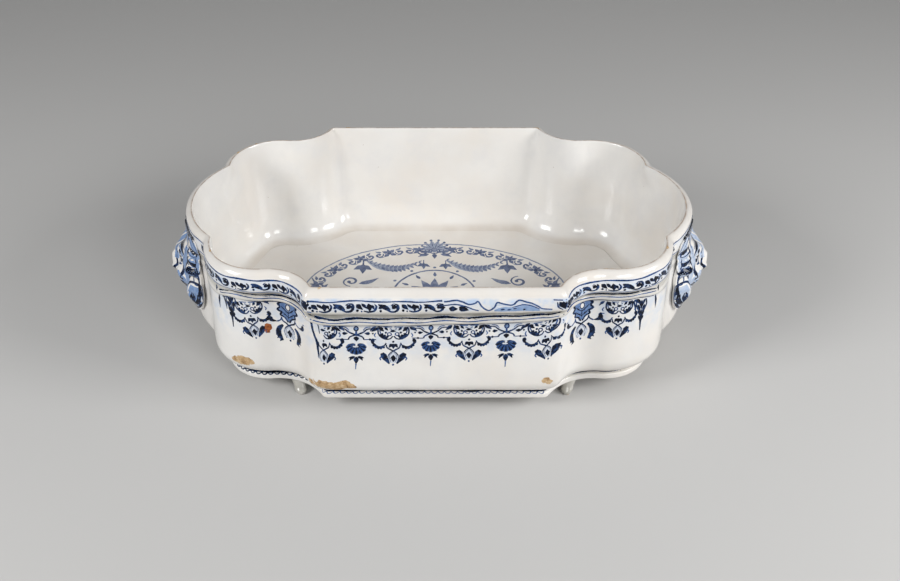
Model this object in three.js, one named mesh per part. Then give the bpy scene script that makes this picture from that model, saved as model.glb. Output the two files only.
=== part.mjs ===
// A lobed oval basin of tin-glazed earthenware, made the way a potter builds it: a press-moulded side wall
// with its rim moulding, a floor slab let into the wall, a foot ring under both, four small feet and two
// grotesque masks, each shaped apart and luted on with slip.
// Millimetres. +Z is up and +X runs along the length. The origin is the middle of the footprint on the table.
import * as THREE from "three";
import { mergeVertices } from "three/addons/utils/BufferGeometryUtils.js";

// Plan of the rim's arris, the sharp inner edge of the rim, given for one quarter of the oval.
const HALF_WIDTH = 140; // centre line to the straight long side
const HALF_STRAIGHT = 105; // half the length of that straight side
const COVE_DROP = 27.2; // how far the hollow beside the straight side is set back from it
const COVE_RADIUS = 42;
const LOBE_RADIUS = 47.7; // the corner lobe, which runs on from the hollow
const LOBE_LEAN = 6.7; // degrees the lobe's centre lies outwards of the hollow's centre
const HALF_LENGTH = 229; // centre line to the end lobe
const END_RADIUS = 87.5;

// Heights, one resting on the other.
const FOOT_HEIGHT = 15;
const RING_HEIGHT = 6;
const WALL_HEIGHT = 122;
const FLOOR_THICKNESS = 13;

// The rim moulding: a lip that rolls outwards and down, a deep groove, and a bead under it. It runs along the
// long sides and dies away on the corner lobes, so that the end lobes are plain round the masks.
const LIP_REACH = 9; // outwards of the arris
const LIP_HEIGHT = 22;
const GROOVE_REACH = 5;
const BEAD_REACH = 7.5;
const BEAD_RADIUS = 3;
const BEAD_DROP = 31; // arris to the middle of the bead
const FADE_START = 0.2; // where along the corner lobe the moulding starts to die away
const FADE_END = 0.85;
const MOULDING_TRACE = 0.12; // share of it that is left on the end lobes
const EDGE_ROUND = 4; // height of the rounded edge of the plain wall there

// The wall below the moulding.
const NECK_REACH = 3; // face of the wall outside the arris, just under the bead
const BELLY_REACH = 5.5; // at the belly, low on the wall
const BELLY_HEIGHT = 21; // above the underside of the wall
const TOE_INSET = 14; // where the wall has turned in to the foot ring
const WALL_THICKNESS = 10;
const FLOOR_INSET = 26; // edge of the floor slab inside the arris
const CAVETTO_HEIGHT = 24; // hollow curve between floor and wall

// The foot ring.
const RING_INSET = 6.5;
const RING_NOSE = 1.5; // rounding of its outer edge
const SLAB_SEAT = 5; // how far the ring runs in under the floor slab

// Feet, one under each hollow. The top is broad and shallow and the toe is small and round.
const FOOT_BREADTH = 18;
const FOOT_DEPTH = 12;
const TOE_WIDTH = 7;
const TOE_STEP = 7; // how far the toe stands outwards of the top
const TOE_LEAN = 7; // and how far nearer the middle of the long side
const FOOT_BEARING = 24; // degrees round the hollow's centre, from the Y axis

// Masks, one on each end lobe.
const MASK_WIDTH = 96;
const MASK_HEIGHT = 90;
const MASK_TOP_DROP = 18; // arris to the top of the mask
const MASK_EDGE = 4; // thickness at its edge
const MASK_DOME = 11; // how far its middle swells past that
const MASK_RELIEF = 10; // depth of the modelling of its face
const MASK_HOLLOW = 1.2; // how far its back is scooped off the wall
const JOINT_GAP = 0.3; // slip line between curved faces

// Rounding of the plan's two creases: how much of each side the rounding takes up.
const OUTER_CREASE = 4;
const ARRIS_CREASE = 2.5;
const INNER_CORNER_CREASE = 9;
const INNER_CUSP_CREASE = 20;
const CREASE_FADE = 22; // depth below the arris at which the inner creases are fully soft

const FINISHES = {
  glaze: { color: 0xe9e7e2, roughness: 0.12 },
  painted: { color: 0x9fb0d0, roughness: 0.14 },
};

// Facets along each stretch of a quarter of the plan.
const STEPS = { straight: 2, corner: 3, cove: 5, lobe: 7, cusp: 4, end: 6 };

// Levels and plan centres that follow from the sizes above.
const RING_TOP = FOOT_HEIGHT + RING_HEIGHT;
const FLOOR_TOP = RING_TOP + FLOOR_THICKNESS;
const ARRIS_HEIGHT = RING_TOP + WALL_HEIGHT;
const COVE_CENTRE = new THREE.Vector2(0, HALF_WIDTH - COVE_DROP + COVE_RADIUS);
COVE_CENTRE.x = HALF_STRAIGHT + Math.sqrt(COVE_RADIUS ** 2 - (COVE_CENTRE.y - HALF_WIDTH) ** 2);
const LEAN = THREE.MathUtils.degToRad(LOBE_LEAN);
const LOBE_CENTRE = new THREE.Vector2(Math.sin(LEAN), -Math.cos(LEAN))
  .multiplyScalar(COVE_RADIUS + LOBE_RADIUS)
  .add(COVE_CENTRE);
const END_CENTRE = new THREE.Vector2(HALF_LENGTH - END_RADIUS, 0);

const { lerp, smoothstep, degToRad, radToDeg } = THREE.MathUtils;

// The point on a circle at an angle in radians.
function onCircle(centre, radius, angle) {
  return new THREE.Vector2(centre.x + radius * Math.cos(angle), centre.y + radius * Math.sin(angle));
}

// The direction of travel on a circle at an angle: turn is 1 anticlockwise and -1 clockwise.
function heading(angle, turn) {
  return new THREE.Vector2(-Math.sin(angle) * turn, Math.cos(angle) * turn);
}

function arcPoints(centre, radius, from, to, steps) {
  return Array.from({ length: steps + 1 }, (_, i) => onCircle(centre, radius, lerp(from, to, i / steps)));
}

// The curve that rounds a crease, from one stretch's trimmed end to the next one's.
function creasePoints(from, fromHeading, to, toHeading, steps) {
  const gap = to.clone().sub(from);
  const reach = gap.cross(toHeading) / fromHeading.cross(toHeading);
  const middle = from.clone().addScaledVector(fromHeading, reach);
  return new THREE.QuadraticBezierCurve(from, middle, to).getPoints(steps);
}

// Where the lobe's circle and the end's circle cross on the outside.
function cuspPoint(lobeRadius, endRadius) {
  const between = LOBE_CENTRE.clone().sub(END_CENTRE);
  const apart = between.length();
  const along = (endRadius ** 2 - lobeRadius ** 2 + apart ** 2) / (2 * apart);
  const aside = Math.sqrt(endRadius ** 2 - along ** 2);
  const unit = between.divideScalar(apart);
  return new THREE.Vector2(unit.y, -unit.x).multiplyScalar(aside).addScaledVector(unit, along).add(END_CENTRE);
}

// One quarter of the plan, from the long side's middle round to the end's middle, at a distance outside
// the arris, or inside it where that is negative. The trims say how much of each side a rounding takes.
// Outside, the cusp is where the lobe and the end meet; inside, it spreads into a ridge round the arris's cusp.
function quarterPlan(offset, cornerTrim, cuspTrim) {
  const sideY = HALF_WIDTH + offset;
  const coveRadius = COVE_RADIUS - offset;
  const lobeRadius = LOBE_RADIUS + offset;
  const endRadius = END_RADIUS + offset;
  const rise = COVE_CENTRE.y - sideY;
  const cornerX = COVE_CENTRE.x - Math.sqrt(coveRadius ** 2 - rise ** 2);
  const outward = Math.max(offset, 0);
  const cusp = cuspPoint(LOBE_RADIUS + outward, END_RADIUS + outward);

  const sideEnd = new THREE.Vector2(cornerX - cornerTrim, sideY);
  const coveFrom = Math.PI + Math.atan2(rise, COVE_CENTRE.x - cornerX) + cornerTrim / coveRadius;
  const coveTo = 1.5 * Math.PI + LEAN;
  const lobeFrom = 0.5 * Math.PI + LEAN;
  const lobeTo = Math.atan2(cusp.y - LOBE_CENTRE.y, cusp.x - LOBE_CENTRE.x) + cuspTrim / LOBE_RADIUS;
  const endFrom = Math.atan2(cusp.y, cusp.x - END_CENTRE.x) - cuspTrim / END_RADIUS;

  const coveStart = onCircle(COVE_CENTRE, coveRadius, coveFrom);
  const lobeEnd = onCircle(LOBE_CENTRE, lobeRadius, lobeTo);
  const endStart = onCircle(END_CENTRE, endRadius, endFrom);
  const stretches = [
    new THREE.LineCurve(new THREE.Vector2(0, sideY), sideEnd).getPoints(STEPS.straight),
    creasePoints(sideEnd, new THREE.Vector2(1, 0), coveStart, heading(coveFrom, 1), STEPS.corner),
    arcPoints(COVE_CENTRE, coveRadius, coveFrom, coveTo, STEPS.cove),
    arcPoints(LOBE_CENTRE, lobeRadius, lobeFrom, lobeTo, STEPS.lobe),
    creasePoints(lobeEnd, heading(lobeTo, -1), endStart, heading(endFrom, -1), STEPS.cusp),
    arcPoints(END_CENTRE, endRadius, endFrom, 0, STEPS.end),
  ];
  return stretches.flatMap((points, i) => (i ? points.slice(1) : points));
}

// The whole plan, anticlockwise from the middle of the right-hand end.
function wholePlan(offset, cornerTrim, cuspTrim) {
  const forth = quarterPlan(offset, cornerTrim, cuspTrim);
  const back = forth.slice().reverse();
  const turned = (points, signX, signY) => points.slice(0, -1).map((p) => new THREE.Vector2(p.x * signX, p.y * signY));
  return [...turned(back, 1, 1), ...turned(forth, -1, 1), ...turned(back, -1, -1), ...turned(forth, 1, -1)];
}

// The outside keeps its creases crisp all the way down.
function outerPlan(offset) {
  return wholePlan(offset, OUTER_CREASE, OUTER_CREASE);
}

// The inside starts crisp at the arris and grows soft below it.
function innerPlan(offset, height) {
  const fade = smoothstep(ARRIS_HEIGHT - height, 0, CREASE_FADE);
  const cornerTrim = lerp(ARRIS_CREASE, INNER_CORNER_CREASE, fade);
  return wholePlan(offset, cornerTrim, lerp(ARRIS_CREASE, INNER_CUSP_CREASE, fade));
}

function lift(plan, height) {
  return plan.map((p) => new THREE.Vector3(p.x, p.y, height));
}

function indexed(points, index) {
  const positions = new Float32Array(points.flatMap((p) => [p.x, p.y, p.z]));
  return new THREE.BufferGeometry().setAttribute("position", new THREE.BufferAttribute(positions, 3)).setIndex(index);
}

// Triangles of the skin between ring number j and another ring, of `around` points each.
function skin(around, j, other) {
  const index = [];
  for (let i = 0; i < around; i++) {
    const beside = (i + 1) % around;
    const [a, b, c, d] = [j * around + i, j * around + beside, other * around + beside, other * around + i];
    index.push(a, c, b, a, d, c);
  }
  return index;
}

// A hoop through anticlockwise rings that go down its outside, across and up its inside.
function hoop(rings) {
  const around = rings[0].length;
  const index = rings.flatMap((_, j) => skin(around, j, (j + 1) % rings.length));
  return indexed(rings.flat(), index);
}

// A solid through anticlockwise rings from its top or front to its bottom or back, closed by a point at each end.
function capped(rings, first, last) {
  const around = rings[0].length;
  const count = rings.length * around;
  const index = rings.slice(1).flatMap((_, j) => skin(around, j, j + 1));
  for (let i = 0; i < around; i++) {
    const beside = (i + 1) % around;
    index.push(count, i, beside);
    index.push(count + 1, count - around + beside, count - around + i);
  }
  return indexed([...rings.flat(), first, last], index);
}

// Points along joined curves, with a number of steps for each curve.
function sample(path, steps) {
  return path.curves.flatMap((curve, i) => curve.getPoints(steps[i]).slice(i ? 1 : 0));
}

// The wall's section down the outside, from the arris to its toe: x is outside the arris and y the height.
function wallOutside() {
  const top = ARRIS_HEIGHT;
  const lipEnd = top - LIP_HEIGHT;
  const beadMiddle = top - BEAD_DROP;
  const beadTop = beadMiddle + BEAD_RADIUS;
  const neck = beadMiddle - 1.5 * BEAD_RADIUS;
  const belly = RING_TOP + BELLY_HEIGHT;
  const path = new THREE.Path();
  path.moveTo(0, top);
  path.bezierCurveTo(0.45 * LIP_REACH, top, LIP_REACH, top - 0.2 * LIP_HEIGHT, LIP_REACH, top - 0.75 * LIP_HEIGHT);
  path.quadraticCurveTo(LIP_REACH, lipEnd, 0.75 * LIP_REACH, lipEnd - 0.5);
  path.bezierCurveTo(GROOVE_REACH, lipEnd - 1, GROOVE_REACH, lipEnd - 3, GROOVE_REACH, beadTop);
  path.lineTo(BEAD_REACH - BEAD_RADIUS, beadTop);
  path.absarc(BEAD_REACH - BEAD_RADIUS, beadMiddle, BEAD_RADIUS, Math.PI / 2, -Math.PI / 2, true);
  path.lineTo(NECK_REACH, neck);
  path.bezierCurveTo(NECK_REACH, lerp(neck, belly, 0.3), BELLY_REACH, lerp(neck, belly, 0.6), BELLY_REACH, belly);
  path.bezierCurveTo(
    BELLY_REACH,
    lerp(belly, RING_TOP, 0.5),
    lerp(BELLY_REACH, -TOE_INSET, 0.5),
    lerp(belly, RING_TOP, 0.88),
    -TOE_INSET,
    RING_TOP,
  );
  return sample(path, [6, 2, 2, 1, 4, 1, 3, 7]);
}

// The section up the inside, from beside the floor slab to just under the arris.
function wallInside() {
  const face = NECK_REACH - WALL_THICKNESS;
  const toe = JOINT_GAP - FLOOR_INSET;
  const cavettoTop = FLOOR_TOP + CAVETTO_HEIGHT;
  const path = new THREE.Path();
  path.moveTo(toe, RING_TOP);
  path.lineTo(toe, FLOOR_TOP);
  path.bezierCurveTo(lerp(toe, face, 0.55), FLOOR_TOP, face - 1, lerp(FLOOR_TOP, cavettoTop, 0.45), face, cavettoTop);
  path.bezierCurveTo(
    face + 1,
    lerp(cavettoTop, ARRIS_HEIGHT, 0.4),
    0.75 * face,
    ARRIS_HEIGHT - LIP_HEIGHT,
    -1,
    ARRIS_HEIGHT - 2,
  );
  return sample(path, [1, 4, 4]);
}

// How far out the wall stands on the end lobes at a point of its moulded section: upright from the belly up,
// with a rounded edge.
function plainReach(p) {
  if (p.y <= RING_TOP + BELLY_HEIGHT) return p.x;
  const belowEdge = Math.min(1, (ARRIS_HEIGHT - p.y) / EDGE_ROUND);
  return BELLY_REACH * Math.sqrt(1 - (1 - belowEdge) ** 2);
}

// How much of the moulding there is at each point of the whole plan.
function mouldingShares() {
  const lobeStart = STEPS.straight + STEPS.corner + STEPS.cove;
  const count = lobeStart + STEPS.lobe + STEPS.cusp + STEPS.end;
  const fade = (i) => smoothstep((i - lobeStart) / STEPS.lobe, FADE_START, FADE_END);
  const forth = Array.from({ length: count + 1 }, (_, i) => lerp(1, MOULDING_TRACE, fade(i)));
  const half = [...forth.slice().reverse().slice(0, -1), ...forth.slice(0, -1)];
  return [...half, ...half];
}

// The ring of the wall's outside at a point of its section.
function wallRing(p, shares) {
  const plain = outerPlan(plainReach(p));
  return lift(outerPlan(p.x).map((moulded, i) => plain[i].lerp(moulded, shares[i])), p.y);
}

function sideWall() {
  const shares = mouldingShares();
  const outside = wallOutside().map((p) => wallRing(p, shares));
  const inside = wallInside().map((p) => lift(innerPlan(p.x, p.y), p.y));
  return hoop([...outside, ...inside]);
}

function floorSlab() {
  const shape = new THREE.Shape(innerPlan(-FLOOR_INSET, FLOOR_TOP));
  const slab = new THREE.ExtrudeGeometry(shape, { depth: FLOOR_THICKNESS, bevelEnabled: false });
  return slab.translate(0, 0, RING_TOP);
}

// The ring carries the wall on its outer half and the slab on its inner edge.
function footRing() {
  const flat = -RING_INSET - RING_NOSE;
  const path = new THREE.Path();
  path.moveTo(flat, RING_TOP);
  path.quadraticCurveTo(-RING_INSET, RING_TOP, -RING_INSET, RING_TOP - RING_NOSE);
  path.lineTo(-RING_INSET, FOOT_HEIGHT + RING_NOSE);
  path.quadraticCurveTo(-RING_INSET, FOOT_HEIGHT, flat, FOOT_HEIGHT);
  const outside = sample(path, [1, 1, 1]).map((p) => lift(outerPlan(p.x), p.y));
  const inside = [FOOT_HEIGHT, RING_TOP].map((height) => lift(innerPlan(-FLOOR_INSET - SLAB_SEAT, FLOOR_TOP), height));
  return hoop([...outside, ...inside]);
}

// A small splayed foot: broad where it meets the ring, drawn in below it and swelling again at the toe.
function footGeometry(leanSign) {
  const around = 16;
  const levels = 6;
  const rings = [];
  for (let level = 0; level <= levels; level++) {
    const down = level / levels;
    const toeSwell = 1 + 0.25 * Math.sin(Math.PI * smoothstep(down, 0.55, 1));
    const halfDepth = lerp(FOOT_DEPTH, TOE_WIDTH, Math.sin((down * Math.PI) / 2)) / 2;
    const halfBreadth = lerp(FOOT_BREADTH, TOE_WIDTH, down ** 0.75) / 2;
    const drift = smoothstep(down, 0, 1);
    const ring = arcPoints(new THREE.Vector2(), toeSwell, 0, 2 * Math.PI, around).slice(0, around);
    rings.push(
      ring.map(
        (p) =>
          new THREE.Vector3(
            drift * TOE_STEP + halfDepth * p.x,
            leanSign * drift * TOE_LEAN + halfBreadth * p.y,
            -FOOT_HEIGHT * down,
          ),
      ),
    );
  }
  const toe = new THREE.Vector3(TOE_STEP, leanSign * TOE_LEAN, -FOOT_HEIGHT);
  return capped(rings, new THREE.Vector3(), toe);
}

// One foot under the hollow of the quarter that the signs of x and y give.
function footMesh(signX, signY) {
  const bearing = degToRad(-90 - FOOT_BEARING);
  const inset = RING_INSET + RING_NOSE + FOOT_DEPTH / 2;
  const place = onCircle(COVE_CENTRE, COVE_RADIUS + inset, bearing);
  const outward = COVE_CENTRE.clone().sub(place);
  const mesh = new THREE.Mesh(footGeometry(signX * signY), glazed("glaze"));
  mesh.position.set(place.x * signX, place.y * signY, FOOT_HEIGHT);
  mesh.rotation.z = Math.atan2(outward.y * signY, outward.x * signX);
  return mesh;
}

// A soft swelling or hollow of the mask's face, the same on both sides. Its place across and up from the
// mask's middle and how far it spreads are shares of half the mask, and its height is a share of the relief.
function swelling(across, up, spreadAcross, spreadUp, height) {
  return (u, v) => {
    const fromMiddle = Math.abs(u) / (MASK_WIDTH / 2) - across;
    const aboveMiddle = v / (MASK_HEIGHT / 2) - up;
    return MASK_RELIEF * height * Math.exp(-((fromMiddle / spreadAcross) ** 2) - (aboveMiddle / spreadUp) ** 2);
  };
}

const FACE = [
  swelling(0, 0.7, 0.2, 0.12, 0.4), // tuft over the forehead
  swelling(0, 0.47, 0.34, 0.1, 0.35), // forehead
  swelling(0.27, 0.29, 0.18, 0.06, 0.5), // brows
  swelling(0.28, 0.15, 0.14, 0.085, -0.55), // sockets
  swelling(0.28, 0.15, 0.085, 0.055, 0.5), // eyes
  swelling(0, 0.09, 0.09, 0.2, 0.5), // bridge of the nose
  swelling(0, -0.13, 0.14, 0.13, 0.95), // tip of the nose
  swelling(0.15, -0.19, 0.09, 0.075, 0.4), // nostrils
  swelling(0.4, -0.16, 0.15, 0.15, 0.45), // cheeks
  swelling(0.21, -0.36, 0.17, 0.06, 0.45), // moustache
  swelling(0, -0.47, 0.18, 0.05, -0.6), // mouth
  swelling(0, -0.57, 0.15, 0.06, 0.4), // lower lip
  swelling(0, -0.72, 0.19, 0.11, 0.5), // chin
  swelling(0.24, -0.83, 0.1, 0.13, 0.3), // locks of the beard
  swelling(0.34, 0.78, 0.18, 0.13, 0.4), // crown of hair
  swelling(0.66, 0.56, 0.2, 0.11, 0.5), // rolls of hair over the temples
  swelling(0.75, 0.28, 0.19, 0.1, 0.5),
  swelling(0.76, 0.02, 0.18, 0.1, 0.45),
  swelling(0.68, -0.48, 0.17, 0.27, 0.65), // locks that hang beside the chin
  swelling(0.68, -0.55, 0.07, 0.12, -0.35), // furrows in them
];

// Lobes of the mask's outline, seen from the front: degrees above straight across, spread, and share added.
const OUTLINE_LOBES = [
  [90, 14, 0.04],
  [62, 9, -0.04],
  [36, 15, 0.08],
  [6, 10, -0.06],
  [-32, 15, 0.1],
  [-60, 9, -0.08],
  [-90, 16, 0.02],
];

// The mask's edge at an angle from straight across.
function maskEdge(angle) {
  const above = radToDeg(Math.atan2(Math.sin(angle), Math.abs(Math.cos(angle))));
  const lobe = ([degrees, spread, share]) => share * Math.exp(-(((above - degrees) / spread) ** 2));
  const size = OUTLINE_LOBES.reduce((sum, entry) => sum + lobe(entry), 1) / 2;
  return new THREE.Vector2(MASK_WIDTH * size * Math.cos(angle), MASK_HEIGHT * size * Math.sin(angle));
}

// How far the wall stands outside the arris at a height, read off its section.
function wallReach(height, section) {
  const below = section.findIndex((p) => p.y <= height);
  const [high, low] = [section[below - 1], section[below]];
  return lerp(low.x, high.x, (height - low.y) / (high.y - low.y));
}

// The mask on the right-hand end: u runs round the end lobe and v up it. Its back follows the wall, which it
// meets at its edge, and is scooped a little behind.
function maskGeometry() {
  const around = 48;
  const frontRows = 14;
  const backRows = 6;
  const section = wallOutside().map((p) => new THREE.Vector2(lerp(plainReach(p), p.x, MOULDING_TRACE), p.y));
  const middle = ARRIS_HEIGHT - MASK_TOP_DROP - MASK_HEIGHT / 2;
  const place = (u, v, out) => {
    const reach = END_RADIUS + wallReach(middle + v, section);
    const onWall = onCircle(END_CENTRE, reach + out, u / reach);
    return new THREE.Vector3(onWall.x, onWall.y, middle + v);
  };
  const thickness = (u, v, share) => {
    const dome = MASK_EDGE + MASK_DOME * (1 - share ** 2);
    return dome + (1 - share ** 8) * FACE.reduce((sum, feature) => sum + feature(u, v), 0);
  };
  const behind = (u, v, share) => MASK_HOLLOW * (1 - share ** 4);
  const ring = (share, side) =>
    Array.from({ length: around }, (_, i) => {
      const edge = maskEdge((2 * Math.PI * i) / around).multiplyScalar(share);
      return place(edge.x, edge.y, JOINT_GAP + side(edge.x, edge.y, share));
    });
  const rings = [];
  for (let row = 1; row <= frontRows; row++) rings.push(ring(row / frontRows, thickness));
  for (let row = backRows; row >= 1; row--) rings.push(ring(Math.sin((row / backRows) * (Math.PI / 2)), behind));
  return capped(rings, place(0, 0, JOINT_GAP + thickness(0, 0, 0)), place(0, 0, JOINT_GAP + MASK_HOLLOW));
}

function maskMesh(turn) {
  const mesh = new THREE.Mesh(maskGeometry(), glazed("painted"));
  mesh.rotation.z = turn;
  return mesh;
}

function glazed(finish) {
  return new THREE.MeshStandardMaterial({ ...FINISHES[finish], metalness: 0 });
}

const PIECES = {
  side_wall: new THREE.Mesh(sideWall(), glazed("glaze")),
  floor_slab: new THREE.Mesh(floorSlab(), glazed("glaze")),
  foot_ring: new THREE.Mesh(footRing(), glazed("glaze")),
  foot_front_left: footMesh(-1, -1),
  foot_front_right: footMesh(1, -1),
  foot_back_left: footMesh(-1, 1),
  foot_back_right: footMesh(1, 1),
  mask_left: maskMesh(Math.PI),
  mask_right: maskMesh(0),
};

const basin = new THREE.Group();
for (const [name, mesh] of Object.entries(PIECES)) {
  mesh.name = name;
  mesh.geometry.deleteAttribute("normal");
  mesh.geometry.deleteAttribute("uv");
  mesh.geometry = mergeVertices(mesh.geometry);
  basin.add(mesh);
}

export default basin;
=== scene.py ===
"""A lobed oval basin of tin-glazed earthenware with its cobalt painting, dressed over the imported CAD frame.

Lengths are in millimetres until a mesh is made, and MM turns them to metres. The painting is laid out flat,
as brush strokes along a border, and is then wrapped onto the skin of the piece that carries it.
"""
import math

import bpy
import numpy as np
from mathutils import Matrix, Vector, noise


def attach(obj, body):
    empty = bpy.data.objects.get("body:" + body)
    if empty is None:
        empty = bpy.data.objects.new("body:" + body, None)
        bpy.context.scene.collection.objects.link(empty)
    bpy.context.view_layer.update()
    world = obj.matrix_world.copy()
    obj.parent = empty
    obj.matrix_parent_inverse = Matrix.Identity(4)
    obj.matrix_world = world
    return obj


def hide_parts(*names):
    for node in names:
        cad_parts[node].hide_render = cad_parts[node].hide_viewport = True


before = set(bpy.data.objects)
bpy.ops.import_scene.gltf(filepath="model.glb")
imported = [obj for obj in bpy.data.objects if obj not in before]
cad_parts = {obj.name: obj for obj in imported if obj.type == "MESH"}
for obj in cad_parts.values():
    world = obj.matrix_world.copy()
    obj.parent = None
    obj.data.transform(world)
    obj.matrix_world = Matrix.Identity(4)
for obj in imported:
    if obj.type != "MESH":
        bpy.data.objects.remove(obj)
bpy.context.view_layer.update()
MM = 0.001

# Plan of the rim's arris, the sharp inner edge of the rim, given for one quarter of the oval.
HALF_WIDTH = 140
HALF_STRAIGHT = 105
COVE_DROP = 27.2
COVE_RADIUS = 42
LOBE_RADIUS = 47.7
LEAN = math.radians(6.7)
HALF_LENGTH = 229
END_RADIUS = 87.5

# Heights, one resting on the other.
FOOT_HEIGHT = 15
RING_TOP = FOOT_HEIGHT + 6
FLOOR_TOP = RING_TOP + 13
ARRIS_HEIGHT = RING_TOP + 122

# The rim moulding and the wall below it, as in the CAD part. The moulding dies away on the corner lobes.
LIP_REACH = 9
LIP_HEIGHT = 22
GROOVE_REACH = 3.6
BEAD_REACH = 7.5
BEAD_RADIUS = 3
BEAD_DROP = 31
FADE_START = 0.2
FADE_END = 0.85
MOULDING_TRACE = 0.12
EDGE_ROUND = 4
NECK_REACH = 3
BELLY_REACH = 5.5
BELLY_HEIGHT = 21
TOE_INSET = 14
WALL_THICKNESS = 10
FLOOR_INSET = 26
CAVETTO_HEIGHT = 24

# The foot ring and the feet.
RING_INSET = 6.5
RING_NOSE = 1.5
SLAB_SEAT = 5
FOOT_BREADTH = 21
FOOT_DEPTH = 12
TOE_WIDTH = 7
TOE_STEP = 7
TOE_LEAN = 7
TOE_SWELL = 0.25
FOOT_BEARING = 24
FOOT_ASTRAY = (-1.8, 4.5)
FOOT_OUTWARD = 4.6

# The masks.
MASK_WIDTH = 124
MASK_HEIGHT = 94
MASK_TOP_DROP = 10
MASK_EDGE = 3
MASK_DOME = 9.5
MASK_THIN_TOP = 0.4
MASK_THINS = (4, 38)
SWELLING_FULLNESS = 1.5
MASK_RELIEF = 10
MASK_HOLLOW = 1.2
JOINT_GAP = 0.3

# How much of each stretch the rounding of a crease takes: outside, at the arris and further down inside.
OUTER_CREASE = 4
ARRIS_CREASE = 2.5
INNER_CORNER_CREASE = 9
INNER_CUSP_CREASE = 20
CREASE_FADE = 22

# On the outside a crease reaches over this many points of the plan and is rubbed soft this many times. It
# softens, and further down firms again, between these distances down the wall's skin from the arris.
CREASE_REACH = 11
CREASE_RUBS = 26
CREASE_SOFTENS = (22, 54)
CREASE_FIRMS = (122, 140)

# Edges sharper than this between two faces aren't shaded as round.
SHARP_EDGE = math.radians(60)

# How far the fired basin's ends have drifted along its length, out of true.
END_DRIFT = 4

# How far the hand-pressed moulding and the bands painted under it rise, at distances along the wall from the
# middle of the long side.
RISE_AT = (-210, -192, -172, -140, -116, -108, -100, -88, -40, 14, 51, 80, 97, 109, 122, 137, 160, 188, 210)
RISE = (0, 4.5, 4.2, 3.6, 3, 1, -1.6, -2.6, -2.6, -1, 0, 1.6, 3.2, 6, 7, 6.6, 4.6, 5, 0)

# Bands down the skin of the wall: how far below the arris each starts, is full, wanes and ends.
RISE_BAND = (14, 40, 92, 132)
LIP_WASH = (9.5, 12, 20, 24)
BAND_WASH = (44, 48, 62, 92)

# Where grime and painted shade grey the glaze, below the arris: in the groove under the lip and, less, in the
# angle under the bead, where the lip's shadow falls.
GROOVE_DOWN = 30.5
UNDER_BEAD_DOWN = 42

# How broad and how deep the swells of the hand-pressed clay are, and how much of them the outside has.
WALL_SWELLS = (34, 0.9)
FLOOR_SWELLS = (46, 0.35)
OUTSIDE_SWELLS = 0.55

# From 0 to 1: how worn to the clay the ring and the toes are, how grimy the feet are, partly painted shade as
# they stand under the basin, and how filmed over the floor is, partly painted shade.
RING_WEAR = 0.34
RING_INSIDE_WEAR = 0.3
TOE_WEAR = 0.5
FOOT_GRIME_AND_SHADE = 0.9
FLOOR_FILM_AND_SHADE = 0.34

# Facets along each stretch of a quarter of the plan: straight, corner, hollow, lobe, cusp and end.
PLAN_STEPS = (34, 7, 20, 34, 7, 24)

COVE_CENTRE = np.array([0.0, HALF_WIDTH - COVE_DROP + COVE_RADIUS])
COVE_CENTRE[0] = HALF_STRAIGHT + math.sqrt(COVE_RADIUS**2 - (COVE_CENTRE[1] - HALF_WIDTH) ** 2)
LOBE_CENTRE = COVE_CENTRE + (COVE_RADIUS + LOBE_RADIUS) * np.array([math.sin(LEAN), -math.cos(LEAN)])
END_CENTRE = np.array([HALF_LENGTH - END_RADIUS, 0.0])


def lerp(a, b, t):
    return a + (b - a) * t


def smoothstep(x, low, high):
    t = np.clip((x - low) / (high - low), 0, 1)
    return t * t * (3 - 2 * t)


def plateau(x, start, full, wane, end):
    """0 outside start..end and 1 from full to wane."""
    return smoothstep(x, start, full) * (1 - smoothstep(x, wane, end))


def bump(x, middle, reach, power=2):
    """1 at the middle, dying away over its reach; a higher power makes its top flatter."""
    return np.exp(-(((x - middle) / reach) ** power))


def distances(points):
    """Distance along a line of points, from its first point."""
    return np.concatenate([[0], np.cumsum(np.linalg.norm(np.diff(points, axis=0), axis=1))])


def on_circle(centre, radius, angle):
    return np.stack([centre[0] + radius * np.cos(angle), centre[1] + radius * np.sin(angle)], axis=-1)


def heading(angle, turn):
    return np.array([-math.sin(angle) * turn, math.cos(angle) * turn])


def bezier(steps, *controls):
    """Points along a Bezier curve of any degree, from its first control to its last."""
    t = np.linspace(0, 1, steps + 1)[:, None]
    degree = len(controls) - 1
    terms = [math.comb(degree, k) * t**k * (1 - t) ** (degree - k) * np.array(control, float)
             for k, control in enumerate(controls)]
    return sum(terms)


def joined(*curves):
    """One line of points from several that each start where the one before ends."""
    return np.vstack([curves[0]] + [points[1:] for points in curves[1:]])


def cross2(a, b):
    return a[0] * b[1] - a[1] * b[0]


def crease(steps, start, start_heading, end, end_heading):
    """The curve that rounds a crease, from one stretch's trimmed end to the next one's."""
    reach = cross2(end - start, end_heading) / cross2(start_heading, end_heading)
    return bezier(steps, start, start + start_heading * reach, end)


def cusp_point(lobe_radius, end_radius):
    """Where the lobe's circle and the end's circle cross on the outside."""
    between = LOBE_CENTRE - END_CENTRE
    apart = np.hypot(*between)
    along = (end_radius**2 - lobe_radius**2 + apart**2) / (2 * apart)
    unit = between / apart
    return END_CENTRE + unit * along + np.array([unit[1], -unit[0]]) * math.sqrt(end_radius**2 - along**2)


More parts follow.
